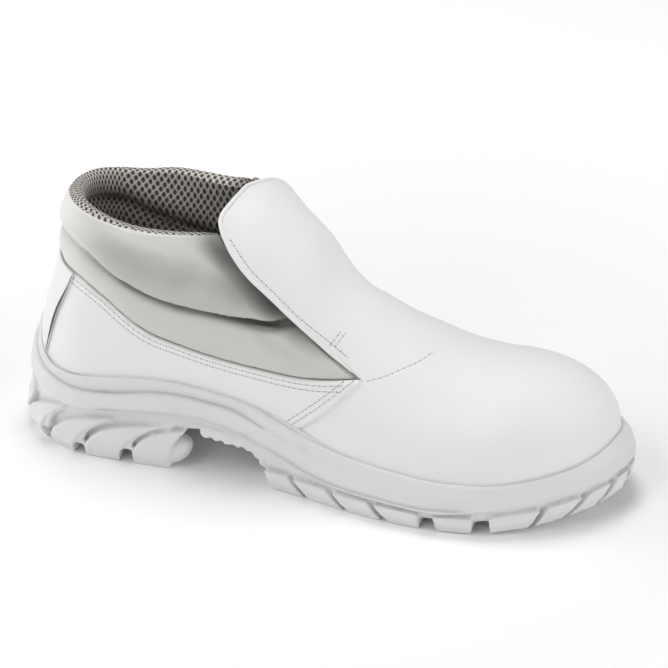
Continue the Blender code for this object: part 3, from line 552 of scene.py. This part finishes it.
def grained_skin(name, light, dark, roughness, grain, depth, heel_light_colour=None, shade_tone=None):
    """Smooth coated skin with a fine pebbled grain, slightly uneven in colour and gloss."""
    material, tree, shader = new_finish(name)
    where = tree.nodes.new("ShaderNodeTexCoord").outputs["Object"]
    pebbles = add_node(tree, "ShaderNodeTexVoronoi", Scale=grain)
    pebbles.feature = "SMOOTH_F1"
    tree.links.new(where, pebbles.inputs["Vector"])
    patches = cloudy(tree, where, scale=28.0)
    pores = cloudy(tree, where, scale=grain * 2.3, detail=2.0)
    swells = cloudy(tree, where, scale=60.0, detail=1.0)
    colour = tinted(tree, patches, dark, light)
    # Painted light: paler round the heel
    if heel_light_colour:
        colour = painted_light_at_heel(tree, where, colour, heel_light_colour)
    # Painted shade where the piece says so
    if shade_tone:
        colour = with_painted_shade(tree, colour, shade_tone)
    gloss = between(tree, patches, roughness - 0.05, roughness + 0.06)
    tree.links.new(colour, shader.inputs["Base Color"])
    tree.links.new(gloss, shader.inputs["Roughness"])
    grain_bumps = ((swells, 6 * depth), (pebbles.outputs["Distance"], depth), (pores, 0.6 * depth))
    raise_bumps(tree, shader, grain_bumps)
    shader.inputs["Specular IOR Level"].default_value = 0.35
    shader.inputs["Sheen Weight"].default_value = 0.05
    shader.inputs["Sheen Roughness"].default_value = 0.5
    return material


def moulded_foam(name, light, dark, groove_shade_colour, roughness):
    """Moulded polyurethane: even, faintly mottled, with a very fine skin."""
    material, tree, shader = new_finish(name)
    where = tree.nodes.new("ShaderNodeTexCoord").outputs["Object"]
    patches = cloudy(tree, where, scale=45.0)
    specks = cloudy(tree, where, scale=1500.0, detail=2.0)
    colour = with_painted_shade(tree, tinted(tree, patches, dark, light), groove_shade_colour)
    gloss = between(tree, patches, roughness - 0.05, roughness + 0.07)
    tree.links.new(colour, shader.inputs["Base Color"])
    tree.links.new(gloss, shader.inputs["Roughness"])
    raise_bumps(tree, shader, ((specks, 0.00005), (patches, 0.0003)))
    return material


def waved(tree, value, pitch):
    """Cosine of a coordinate with a pitch."""
    scaled = worked_out(tree, "MULTIPLY", value, 2.0 * math.pi / pitch)
    return worked_out(tree, "COSINE", scaled)


def off_the_net(tree, first, second):
    """How far a place is from the strands of a diamond net, along which two waves cancel out."""
    return worked_out(tree, "ABSOLUTE", worked_out(tree, "ADD", first, second))


def spacer_mesh(name, yarn_dark, yarn_light, rim_light_colour, in_holes, fold_shade_colour):
    """Thick knitted mesh, a diamond net round dark holes, laid out on the piece's own map."""
    material, tree, shader = new_finish(name)
    laid_out = tree.nodes.new("ShaderNodeUVMap")
    laid_out.uv_map = "knit"
    parts = split_up(tree, laid_out.outputs["UV"])
    net = off_the_net(tree, waved(tree, parts["X"], KNIT_ROUND), waved(tree, parts["Y"], KNIT_UP))
    holes = eased_over(tree, net, From_Min=HOLE_STARTS, From_Max=HOLE_FULL)
    yarn = cloudy(tree, laid_out.outputs["UV"], scale=1400.0, detail=2.0)
    where = tree.nodes.new("ShaderNodeTexCoord").outputs["Object"]
    height = split_up(tree, where)["Z"]
    # Painted light: the knit pales toward the lit rim and stays darker lower down in shade
    rim_light_share = eased_over(tree, height, From_Min=RIM_LIGHT_FROM, From_Max=RIM_LIGHT_FULL)
    knit = tinted(tree, yarn, yarn_dark, yarn_light)
    knit = fading_to(tree, knit, rim_light_colour, rim_light_share)
    knit = fading_to(tree, knit, in_holes, holes)
    # Painted shade in the folds of the lining
    knit = with_painted_shade(tree, knit, fold_shade_colour)
    tree.links.new(knit, shader.inputs["Base Color"])
    shader.inputs["Roughness"].default_value = 0.85
    shader.inputs["Sheen Weight"].default_value = 0.15
    sunk = between(tree, holes, 1.0, 0.0)
    raise_bumps(tree, shader, ((sunk, 0.0012), (yarn, 0.00015)))
    return material


def felted(name, light, dark):
    """Short-napped lining felt."""
    material, tree, shader = new_finish(name)
    where = tree.nodes.new("ShaderNodeTexCoord").outputs["Object"]
    nap = cloudy(tree, where, scale=900.0, detail=4.0)
    tree.links.new(tinted(tree, nap, dark, light), shader.inputs["Base Color"])
    shader.inputs["Roughness"].default_value = 0.92
    shader.inputs["Sheen Weight"].default_value = 0.2
    raise_bumps(tree, shader, ((nap, 0.0003),))
    return material


def twisted_thread(name, colour):
    """Sewing thread, uneven along its fibres."""
    material, tree, shader = new_finish(name)
    where = tree.nodes.new("ShaderNodeTexCoord").outputs["Object"]
    fibres = cloudy(tree, where, scale=3000.0, detail=2.0)
    darker = tuple(0.8 * c for c in colour)
    tree.links.new(tinted(tree, fibres, darker, colour), shader.inputs["Base Color"])
    shader.inputs["Roughness"].default_value = 0.6
    return material


UPPER_SKIN = grained_skin(
    "white_microfibre", light=(0.83, 0.83, 0.825), dark=(0.80, 0.80, 0.79),
    roughness=0.57, grain=1100.0, depth=0.00003,
)
# Collar skin: paler round the heel as painted light, darker by its share of painted shade
COLLAR_SKIN = grained_skin(
    "soft_collar_skin", light=(0.68, 0.68, 0.65), dark=(0.64, 0.64, 0.61),
    roughness=0.46, grain=800.0, depth=0.00005,
    heel_light_colour=(0.80, 0.80, 0.785), shade_tone=(0.13, 0.135, 0.125),
)
# Tone of the painted shade in the grooves of the foam
FOAM_IN_SHADE = (0.30, 0.30, 0.30)
SOLE_FOAM = moulded_foam(
    "sole_foam", light=(0.73, 0.73, 0.725), dark=(0.70, 0.70, 0.695), groove_shade_colour=FOAM_IN_SHADE, roughness=0.5,
)
TREAD_FOAM = moulded_foam(
    "tread_foam", light=(0.75, 0.75, 0.75), dark=(0.71, 0.71, 0.71), groove_shade_colour=FOAM_IN_SHADE, roughness=0.5,
)
KNIT_LINING = spacer_mesh(
    "spacer_mesh", yarn_dark=(0.30, 0.27, 0.235), yarn_light=(0.52, 0.475, 0.42),
    rim_light_colour=(0.60, 0.57, 0.525), in_holes=(0.072, 0.057, 0.046), fold_shade_colour=(0.05, 0.042, 0.036),
)
FELT_LINING = felted("lining_felt", light=(0.42, 0.40, 0.375), dark=(0.30, 0.285, 0.265))
FOOTBED = felted("footbed_felt", light=(0.36, 0.355, 0.345), dark=(0.25, 0.245, 0.24))
THREAD = twisted_thread("sewing_thread", (0.60, 0.60, 0.585))
NEEDLE_DARK = twisted_thread("needle_hole", (0.38, 0.38, 0.37))
# A dark cord as painted shadow in the strap's gaps
STRAP_GAP_SHADE = twisted_thread("strap_gap_shade", (0.10, 0.10, 0.095))


def paint_shade(piece, share):
    """Raises the share of painted shade at each point of a piece."""
    layer = piece.data.attributes.get("painted_shade_share")
    if layer is None:
        layer = piece.data.attributes.new("painted_shade_share", "FLOAT", "POINT")
    before = np.zeros(len(share))
    layer.data.foreach_get("value", before)
    layer.data.foreach_set("value", np.maximum(before, share))


def shade_grooves(piece, shading):
    """Painted shade gathers where the surface lies below itself smoothed over."""
    places, facings = vertex_arrays(piece)
    count = len(places)
    ends = np.zeros(len(piece.data.edges) * 2, dtype=np.int32)
    piece.data.edges.foreach_get("vertices", ends)
    first, second = ends.reshape(-1, 2).T
    neighbours = np.bincount(ends, minlength=count)
    smooth = places.copy()
    for _ in range(shading.rounds):
        for axis in range(3):
            from_second = np.bincount(first, smooth[second, axis], count)
            from_first = np.bincount(second, smooth[first, axis], count)
            smooth[:, axis] = 0.5 * smooth[:, axis] + 0.5 * (from_second + from_first) / neighbours
    hollow = np.einsum("ij,ij->i", smooth - places, facings) / MM
    paint_shade(piece, shading.most * np.clip(hollow / shading.depth, 0.0, 1.0))


def lay_cord(name, places, radius, finish, closed=False):
    """A round cord through places, closed or thinner toward both ends, as a mesh."""
    path = bpy.data.curves.new(name, "CURVE")
    path.dimensions = "3D"
    path.bevel_depth = radius
    path.bevel_resolution = 3
    path.use_fill_caps = True
    spline = path.splines.new("POLY")
    spline.points.add(len(places) - 1)
    ends = np.minimum(np.arange(len(places)), np.arange(len(places))[::-1]) / CORD_TAPER_POINTS
    for point, place, share in zip(spline.points, places, ease(ends)):
        point.co = (*place, 1.0)
        point.radius = 1.0 if closed else CORD_THIN_END + (1.0 - CORD_THIN_END) * share
    spline.use_cyclic_u = closed
    cord = bpy.data.objects.new(name, path)
    bpy.context.scene.collection.objects.link(cord)
    take_up(cord)
    bpy.ops.object.convert(target="MESH")
    cord = bpy.context.object
    bpy.ops.object.shade_smooth()
    cord.data.materials.clear()
    cord.data.materials.append(finish)
    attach(cord, "root")


def spine_y(x):
    """Width of the shoe's middle line, which swings to the medial side at the toe."""
    return read_off(SPINE, np.asarray(x) / MM) * MM


def line_inside(piece, finish):
    """Faces that look into the shoe get a lining finish."""
    piece.data.materials.append(finish)
    count = len(piece.data.polygons)
    middles = np.zeros(count * 3)
    facings = np.zeros(count * 3)
    piece.data.polygons.foreach_get("center", middles)
    piece.data.polygons.foreach_get("normal", facings)
    middles = middles.reshape(-1, 3)
    facings = facings.reshape(-1, 3)
    along = np.clip(middles[:, 0], HEEL_CENTRE_X, TOE_CENTRE_X)
    core = np.stack((along, spine_y(along), np.full(count, CORE_HEIGHT)), axis=1)
    inward = np.einsum("ij,ij->i", middles - core, facings) < 0.0
    piece.data.polygons.foreach_set("material_index", inward.astype(np.int32))
    piece.data.update()


def flap_rim_places(upper):
    """Outer corner of the flap's cut edge, from the lateral V over the top and down to the medial V."""
    select_sharp_edges(upper, CUT_EDGE_ANGLE)
    bpy.ops.object.mode_set(mode="OBJECT")
    drawn = line_through(FLAP_EDGE, count=60)
    corners = {corner for edge in upper.data.edges if edge.select for corner in edge.vertices}
    places = []
    for corner in corners:
        place = upper.data.vertices[corner].co
        out = upper.data.vertices[corner].normal
        flat = np.array((place.x, place.z)) / MM
        near_edge = np.min(np.linalg.norm(drawn - flat, axis=1)) < FLAP_RIM_NEAR
        on_edge = near_edge and flat[1] > FLAP_RIM_FOOT
        on_top = flat[1] > FLAP_RIM_TOP
        core = Vector((max(place.x, HEEL_CENTRE_X), spine_y(place.x), CORE_HEIGHT))
        if (on_edge or on_top) and out.dot((place - core).normalized()) > FLAP_RIM_LOOKS_OUT:
            places.append(place + out * (FLAP_RIM_STANDS * MM))
    places.sort(key=lambda place: math.atan2(place.y, place.z - FLAP_RIM_TURN * MM))
    return np.array(places)


def cut_upper():
    """Vamp with its flap and the two lapped quarters, as one skin with crisp cut edges."""
    upper = pattern_from("upper", "upper_skin")
    flap_rim = line_in_space(flap_rim_places(upper), FLAP_RIM_POINTS)
    keep_edges(upper, CUT_EDGE_ANGLE, CUT_EDGE_CREASE)
    round_over(upper, levels=2)
    lay_cord("flap_rim", flap_rim, FLAP_RIM_RADIUS * MM, UPPER_SKIN)
    upper.data.materials.append(UPPER_SKIN)
    line_inside(upper, FELT_LINING)
    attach(upper, "root")
    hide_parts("upper")
    return upper


def faces_out(piece):
    """How far each point of the collar looks away from the ankle, from -1 to 1."""
    places, facings = vertex_arrays(piece)
    along = np.maximum(places[:, 0], HEEL_CENTRE_X)
    out = np.stack((places[:, 0] - along, places[:, 1]), axis=1)
    out /= np.linalg.norm(out, axis=1)[:, None]
    return np.einsum("ij,ij->i", out, facings[:, :2])


def hump(above, shape):
    """A rounded rise across the crease."""
    return shape.size * np.exp(-(((above - shape.above) / shape.reach) ** 2))


def lopsided(above, middle, reach_up, reach_down):
    """A rise of height 1 that reaches further to one side of its middle."""
    return np.exp(-(((above - middle) / np.where(above > middle, reach_up, reach_down)) ** 2))


def press_crease(piece):
    """The sewn crease between the two rolls: drawn in deep, with the upper roll sagging over it, and
    shade painted in.
    """
    places, facings = vertex_arrays(piece)
    x = places[:, 0] / MM
    above = places[:, 2] / MM - read_off(ROLL_CREASE, x)
    past_heel = ease((x - CREASE_STARTS_X) / CREASE_DEEPENS_OVER)
    outside = np.clip(faces_out(piece) * SIDE_SHARPNESS, 0.0, 1.0)
    inside = np.clip(-faces_out(piece) * SIDE_SHARPNESS, 0.0, 1.0)
    before_flap = ease((CREASE_EASES_X - x) / CREASE_EASES_OVER)
    clear_of_flap = CREASE_BY_FLAP + (1.0 - CREASE_BY_FLAP) * before_flap
    deep = (CREASE_AT_HEEL + (1.0 - CREASE_AT_HEEL) * past_heel) * clear_of_flap * outside
    tuck = TUCK_DEPTH * lopsided(above, 0.0, TUCK_REACH_UP, TUCK_REACH_DOWN) * deep
    lip = hump(above, LIP) * deep
    hollow = hump(above, HOLLOW) * past_heel * outside
    sag = hump(above, SAG) * deep
    inner_tuck = hump(above, INNER_TUCK) * inside
    inner_swell = hump(above, INNER_SWELL) * inside
    moved = places + facings * ((lip - tuck - hollow - inner_tuck + inner_swell) * MM)[:, None]
    moved[:, 2] -= sag * MM
    move_to(piece, moved)
    # Painted shade under the lip of the crease, on the upper roll below the rim and in the lining's
    # inner fold
    widens = ease((x - CREASE_DARK_WIDENS_X) / CREASE_DARK_WIDENS_OVER)
    reach_down = CREASE_DARK_REACH_HEEL + CREASE_DARK_WIDENS_BY * widens
    bottom = lopsided(above, CREASE_DARK_AT, CREASE_DARK_REACH_UP, reach_down)
    paint_shade(piece, CREASE_DARK * past_heel * outside * bottom)
    below_rim = 1.0 - ease((places[:, 2] / MM - ROLL_PALES_Z) / ROLL_PALES_OVER)
    underside = past_heel * hump(above, ROLL_UNDERSIDE_DARK)
    paint_shade(piece, (ROLL_DARK + underside) * below_rim * outside)
    paint_shade(piece, hump(above, INNER_FOLD_DARK) * inside)


def press_beside_flap(piece):
    """Elastic web of the collar along the free edge of the flap: drawn in, with the flap's shadow
    painted on it.
    """
    places, _ = vertex_arrays(piece)
    flat = places[:, (0, 2)] / MM
    edge = line_through(FLAP_EDGE, count=90)
    away = np.min(np.linalg.norm(flat[:, None, :] - edge[None, :, :], axis=2), axis=1)
    height = flat[:, 1]
    drawn = read_off(WEB_DEPTH, height) * np.exp(-((away / WEB_REACH) ** 2)) * MM
    places[:, 1] -= np.sign(places[:, 1]) * np.minimum(drawn, np.abs(places[:, 1]))
    move_to(piece, places)
    # Painted shadow of the flap, darkest next to its edge
    paint_shade(piece, read_off(FLAP_SHADOW_SHARE, height) * np.exp(-((away / FLAP_SHADOW_REACH) ** 3)))


def press_folds(piece, folds, side):
    """Soft troughs with low banks beside them, each along its own line on one side of the collar."""
    places, facings = vertex_arrays(piece)
    on_side = (places[:, 1] * side > 0.0) & (facings[:, 1] * side > FOLD_LOOKS_OUT)
    flat = places[:, (0, 2)] / MM
    depth = np.zeros(len(places))
    for fold in folds:
        start = np.array((fold.from_x, fold.from_z))
        run = np.array((fold.to_x, fold.to_z)) - start
        share = np.clip((flat - start) @ run / (run @ run), 0.0, 1.0)
        away = np.linalg.norm(flat - start - share[:, None] * run, axis=1) / fold.width
        fade = np.sin(math.pi * np.clip(FOLD_FADE_START + FOLD_FADE_SPAN * share, 0.0, 1.0))
        trough = np.exp(-(away**2)) - FOLD_BANK * np.exp(-((away - FOLD_BANK_AT) ** 2))
        depth += fold.depth * fade * trough
    move_to(piece, places - facings * (depth * on_side * MM)[:, None])


def lay_out_knit(piece):
    """A map in metres for knitted faces: round the ankle, and up the wall and over the rim."""
    while piece.data.uv_layers:
        piece.data.uv_layers.remove(piece.data.uv_layers[0])
    map_layer = piece.data.uv_layers.new(name="knit")
    places, _ = vertex_arrays(piece)
    x = places[:, 0]
    y = places[:, 1]
    turn = np.arctan2(np.abs(y), np.maximum(HEEL_CENTRE_X - x, 1e-9))
    round_heel = OVAL_RADIUS * turn
    past_heel = OVAL_RADIUS * math.pi / 2 + x - HEEL_CENTRE_X
    walk = np.sign(y) * np.where(x < HEEL_CENTRE_X, round_heel, past_heel)
    out = np.hypot(np.minimum(x - HEEL_CENTRE_X, 0.0), y)
    crest = read_off(RIM_CREST, x / MM) * MM
    past_crest = np.where(places[:, 2] > KNIT_ENDS_Z, np.maximum(out - crest, 0.0), 0.0)
    climb = places[:, 2] + out + KNIT_PACE_OVER_RIM * past_crest
    corners = np.zeros(len(piece.data.loops), dtype=np.int32)
    piece.data.loops.foreach_get("vertex_index", corners)
    map_layer.data.foreach_set("uv", np.stack((walk[corners], climb[corners]), axis=1).ravel())


def pad_collar():
    """The padded collar: two soft rolls in skin outside, knitted mesh inside and over the rim."""
    collar = pattern_from("collar", "collar_pad")
    round_over(collar, levels=3)
    collar.data.materials.append(COLLAR_SKIN)
    collar.data.materials.append(KNIT_LINING)
    for face in collar.data.polygons:
        x, y, z = face.center
        out = face.normal.dot(Vector((min(x - HEEL_CENTRE_X, 0.0), y, 0.0)).normalized())
        over_rim = face.normal.z > RIM_LOOKS_UP and out < RIM_LOOKS_OUT and z > KNIT_ENDS_Z
        face.material_index = 1 if over_rim or out < LINING_LOOKS_OUT else 0
    press_crease(collar)
    press_folds(collar, COLLAR_FOLDS, -1)
    press_folds(collar, COLLAR_FOLDS, 1)
    press_beside_flap(collar)
    lay_out_knit(collar)
    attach(collar, "root")
    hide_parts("collar")


def fit_back_strap():
    """The raised strap down the heel."""
    strap = pattern_from("back_strap", "back_strap_skin")
    keep_edges(strap, STRAP_EDGE_ANGLE, STRAP_EDGE_CREASE)
    round_over(strap, levels=2)
    strap.data.materials.append(UPPER_SKIN)
    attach(strap, "root")
    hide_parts("back_strap")
    return strap


def shade_strap_gaps(strap):
    """Painted shadow: a dark cord in the gap down both edges of the back strap."""
    places, _ = vertex_arrays(strap)
    foot = places[:, 2].min() + STRAP_GAP_FOOT * MM
    top = places[:, 2].max() - STRAP_GAP_TOP * MM
    for side, name in ((-1, "strap_gap_shade_lateral"), (1, "strap_gap_shade_medial")):
        line = []
        for height in np.linspace(foot, top, STRAP_GAP_POINTS):
            level = places[np.abs(places[:, 2] - height) < STRAP_GAP_LEVEL * MM]
            if len(level):
                line.append(level[np.argmax(level[:, 1] * side)])
        lay_cord(name, smoothed(np.array(line), rounds=4), STRAP_GAP_RADIUS * MM, STRAP_GAP_SHADE)


def bond_lip(sole, upper):
    """Lip of the sole laid against the upper all round."""
    skin = surface_of(upper)
    places, facings = vertex_arrays(sole)
    for i, place in enumerate(places):
        hit, _, _, _ = skin.find_nearest(Vector(place), LIP_REACH * MM)
        if hit is not None and facings[i, 2] > LIP_LOOKS_UP:
            places[i] += (np.array(hit) - place) * LIP_PULL
    move_to(sole, places)


def feather_places(sole, upper):
    """Where the lip of the sole meets the upper, once round the shoe from the medial waist."""
    skin = surface_of(upper)
    places, facings = vertex_arrays(sole)
    highest = {}
    for place, facing in zip(places, facings):
        hit, out, _, _ = skin.find_nearest(Vector(place), FEATHER_REACH * MM)
        if hit is None or facing[2] < FEATHER_LOOKS_UP:
            continue
        ahead = hit.x / (SOLE_HALF_LENGTH * MM)
        lateral = -hit.y / (SOLE_HALF_WIDTH * MM)
        turn = math.degrees(math.atan2(ahead, lateral))
        step = round(turn / FEATHER_STEP)
        if step not in highest or hit.z > highest[step][0]:
            highest[step] = (hit.z, hit - out * (FEATHER_BEAD_SINKS * MM))
    return np.array([highest[step][1] for step in sorted(highest)])


def mould_sole(upper):
    """The cup of the sole with its step and lip, edges eased as they leave the mould."""
    sole = pattern_from("midsole", "sole_cup")
    met = feather_places(sole, upper)
    feather = line_in_space(np.vstack((met, met[:1])), FEATHER_POINTS)[:-1]
    lay_cord("feather_bead", feather, FEATHER_BEAD * MM, SOLE_FOAM, closed=True)
    keep_edges(sole, SOLE_EDGE_ANGLE, SOLE_EDGE_CREASE)
    round_over(sole, levels=2)
    bond_lip(sole, upper)
    shade_grooves(sole, SOLE_GROOVE_SHADE)
    sole.data.materials.append(SOLE_FOAM)
    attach(sole, "root")
    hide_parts("midsole")


def model_breast_and_ribs():
    """Rounded bosses at both corners of the heel breast, and ribs across the underside of the waist."""
    models = []
    for side in (-1, 1):
        put_down_all()
        bpy.ops.mesh.primitive_uv_sphere_add(
            segments=32, ring_count=16, radius=1.0, scale=BOSS_HALF_SIZE * MM,
            location=(BOSS_X * MM, side * BOSS_Y * MM, BOSS_Z * MM),
            rotation=(0.0, math.radians(BOSS_TILT), 0.0),
        )
        models.append(bpy.context.object)
    for x, z in WAIST_RIBS:
        put_down_all()
        bpy.ops.mesh.primitive_cylinder_add(
            vertices=24, radius=RIB_RADIUS * MM, depth=RIB_LENGTH * MM,
            location=(x * MM, RIB_MIDDLE_Y * MM, z * MM), rotation=(math.radians(90.0), 0.0, 0.0),
        )
        models.append(bpy.context.object)
    return models


def press_tread():
    """The tread with its lugs, all edges softened as moulded foam."""
    tread = pattern_from("outsole", "tread")
    models = model_breast_and_ribs()
    take_up(tread)
    for model in models:
        model.select_set(True)
    bpy.ops.object.join()
    apply_modifier(tread, "REMESH", mode="VOXEL", voxel_size=TREAD_VOXEL)
    apply_modifier(tread, "SMOOTH", factor=0.5, iterations=2)
    kept = min(1.0, TREAD_TRIANGLES / (2 * len(tread.data.polygons)))
    apply_modifier(tread, "DECIMATE", ratio=kept)
    take_up(tread)
    bpy.ops.object.shade_smooth()
    shade_grooves(tread, TREAD_GROOVE_SHADE)
    tread.data.materials.append(TREAD_FOAM)
    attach(tread, "root")
    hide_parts("outsole")


def lay_insole():
    """The footbed is the frame's own node, with a felt finish."""
    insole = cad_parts["insole"]
    insole.data.materials.clear()
    insole.data.materials.append(FOOTBED)


def reshaped_ball(segments, rings, radius, stretch):
    """A small ball stretched to a shape along its own axes."""
    put_down_all()
    bpy.ops.mesh.primitive_uv_sphere_add(segments=segments, ring_count=rings, radius=radius)
    ball = bpy.context.object
    bpy.ops.object.mode_set(mode="EDIT")
    bpy.ops.mesh.select_all(action="SELECT")
    bpy.ops.transform.resize(value=stretch)
    bpy.ops.object.mode_set(mode="OBJECT")
    return ball


def spaced(laid, pitch):
    """Places an even pitch apart along a laid line."""
    places = np.array([place for place, facing in laid])
    facings = np.array([facing for place, facing in laid])
    run = run_along(places)
    spots = np.arange(0.0, run[-1], pitch)
    even = np.stack([np.interp(spots, run, places[:, i]) for i in range(3)], axis=1)
    out = np.stack([np.interp(spots, run, facings[:, i]) for i in range(3)], axis=1)
    return [(Vector(p), Vector(n).normalized()) for p, n in zip(even, out)]


def stood_at(place, ahead, facing, sink):
    """Where a small thing sits on a surface: its length ahead, its top facing out."""
    ahead = (ahead - facing * ahead.dot(facing)).normalized()
    side = facing.cross(ahead)
    turn = Matrix((ahead, side, facing)).transposed().to_4x4()
    return Matrix.Translation(place - facing * sink) @ turn


def repeat_joined(model, name, stands, finish):
    """One joined mesh with a copy of a small model at every place."""
    joined = bmesh.new()
    for stand in stands:
        copy = model.data.copy()
        copy.transform(stand)
        joined.from_mesh(copy)
        bpy.data.meshes.remove(copy)
    mesh = bpy.data.meshes.new(name)
    joined.to_mesh(mesh)
    joined.free()
    piece = bpy.data.objects.new(name, mesh)
    bpy.context.scene.collection.objects.link(piece)
    mesh.materials.append(finish)
    take_up(piece)
    bpy.ops.object.shade_smooth()
    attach(piece, "root")


def sew(rows):
    """Stitches and the needle holes between them along laid lines."""
    stitches = []
    holes = []
    for laid in rows:
        spots = spaced(laid, STITCH_PITCH)
        for (place, facing), (after, _) in zip(spots, spots[1:]):
            ahead = after - place
            stitches.append(stood_at((place + after) / 2, ahead, facing, STITCH_SINKS))
            holes.append(stood_at(place, ahead, facing, 0.0))
    stitch = reshaped_ball(segments=8, rings=6, radius=0.5, stretch=STITCH_SIZE)
    hole = reshaped_ball(segments=7, rings=4, radius=NEEDLE_HOLE, stretch=NEEDLE_HOLE_STRETCH)
    repeat_joined(stitch, "stitches", stitches, THREAD)
    repeat_joined(hole, "needle_holes", holes, NEEDLE_DARK)
    for model in (stitch, hole):
        bpy.data.objects.remove(model, do_unlink=True)


def sewing_lines(upper):
    """All visible stitching: quarter tops, lapped seams, flap edges, vamp lines and bar tacks."""
    skin = surface_of(upper)
    quarter_top = line_through(QUARTER_TOP, count=240)
    flap_edge = line_through(FLAP_EDGE, count=200)
    lap = line_through(LAP_SEAM, count=120)
    vamp = line_through(VAMP_LINE, count=60)
    clear_of_curl = np.linspace(FLAP_ROW_AT_TOP, FLAP_ROW_AT_FOOT, len(flap_edge))
    rows = []
    for side in (-1, 1):
        for drop in QUARTER_ROWS:
            rows.append(lay_on_side(skin, shifted(quarter_top, drop)[QUARTER_PART], side))
        for back in LAP_ROWS:
            line = [p for p in shifted(lap, back) if p[1] > LAP_ROWS_END_Z]
            rows.append(lay_on_side(skin, line, side))
        rows.append(lay_on_side(skin, shifted(flap_edge, clear_of_curl)[FLAP_PART], side))
        rows.append(lay_on_side(skin, vamp if side < 0 else vamp[MEDIAL_VAMP_PART], side))
        for shift in BAR_TACK_SHIFTS:
            line = line_through(np.array(BAR_TACK) + shift, count=30)
            rows.append(lay_on_side(skin, line, side))
    return [row for row in rows if len(row) > FEWEST_IN_ROW]


def light_studio():
    """White air and the soft boxes."""
    world = bpy.data.worlds.new("studio_air")
    bpy.context.scene.world = world
    world.use_nodes = True
    air = world.node_tree.nodes["Background"]
    air.inputs["Color"].default_value = (1.0, 1.0, 1.0, 1.0)
    air.inputs["Strength"].default_value = AIR_STRENGTH
    for soft_box in LAMPS:
        put_down_all()
        bpy.ops.object.light_add(type="AREA", location=soft_box.place)
        lamp = bpy.context.object
        lamp.name = soft_box.name
        lamp.data.size = soft_box.size
        lamp.data.energy = soft_box.power
        lamp.rotation_euler = (LOOKED_AT - Vector(soft_box.place)).to_track_quat("-Z", "Y").to_euler()


def lay_floor():
    """The white studio floor, which is no part of the shoe."""
    put_down_all()
    bpy.ops.mesh.primitive_plane_add(size=FLOOR_SIZE, location=(0.0, 0.0, 0.0))
    floor = bpy.context.object
    floor.name = "studio_floor"
    material, tree, shader = new_finish("pale_floor")
    where = tree.nodes.new("ShaderNodeTexCoord").outputs["Object"]
    haze = cloudy(tree, where, scale=3.0)
    pale = tinted(tree, haze, (0.96, 0.96, 0.96), (0.975, 0.975, 0.975))
    tree.links.new(pale, shader.inputs["Base Color"])
    shader.inputs["Roughness"].default_value = 0.8
    away = tree.nodes.new("ShaderNodeVectorMath")
    away.operation = "LENGTH"
    tree.links.new(where, away.inputs[0])
    glow = add_node(
        tree, "ShaderNodeMapRange",
        From_Min=FLOOR_GLOW_FROM, From_Max=FLOOR_GLOW_FULL, To_Max=FLOOR_GLOW,
    )
    tree.links.new(away.outputs["Value"], glow.inputs["Value"])
    tree.links.new(glow.outputs["Result"], shader.inputs["Emission Strength"])
    shader.inputs["Emission Color"].default_value = (1.0, 1.0, 1.0, 1.0)
    floor.data.materials.append(material)


def set_camera():
    """The camera at the photograph's angle, with the looked-at place on its pixel."""
    turn_right = Vector((math.cos(VIEW_TURN), math.sin(VIEW_TURN), 0.0))
    toward = Vector(
        (
            math.sin(VIEW_TURN) * math.cos(VIEW_DROP),
            -math.cos(VIEW_TURN) * math.cos(VIEW_DROP),
            math.sin(VIEW_DROP),
        )
    )
    upward = toward.cross(turn_right)
    off_right = (PHOTO_WIDTH / 2 - LOOKED_AT_PIXEL[0]) / PIXELS_PER_MM * MM
    off_up = (LOOKED_AT_PIXEL[1] - PHOTO_WIDTH / 2) / PIXELS_PER_MM * MM
    put_down_all()
    bpy.ops.object.camera_add()
    camera = bpy.context.object
    camera.data.sensor_width = SENSOR_WIDTH
    camera.data.lens = PIXELS_PER_MM / MM * VIEW_DISTANCE / PHOTO_WIDTH * SENSOR_WIDTH
    camera.data.clip_start = NEAREST_SEEN
    stand = LOOKED_AT + turn_right * off_right + upward * off_up + toward * VIEW_DISTANCE
    facing = Matrix((turn_right, upward, toward)).transposed().to_4x4()
    camera.matrix_world = Matrix.Translation(stand) @ facing
    bpy.context.scene.camera = camera


set_camera()
light_studio()
lay_floor()
press_tread()
lay_insole()
upper = cut_upper()
mould_sole(upper)
pad_collar()
shade_strap_gaps(fit_back_strap())
sew(sewing_lines(upper))
bpy.context.scene.view_settings.view_transform = "Standard"
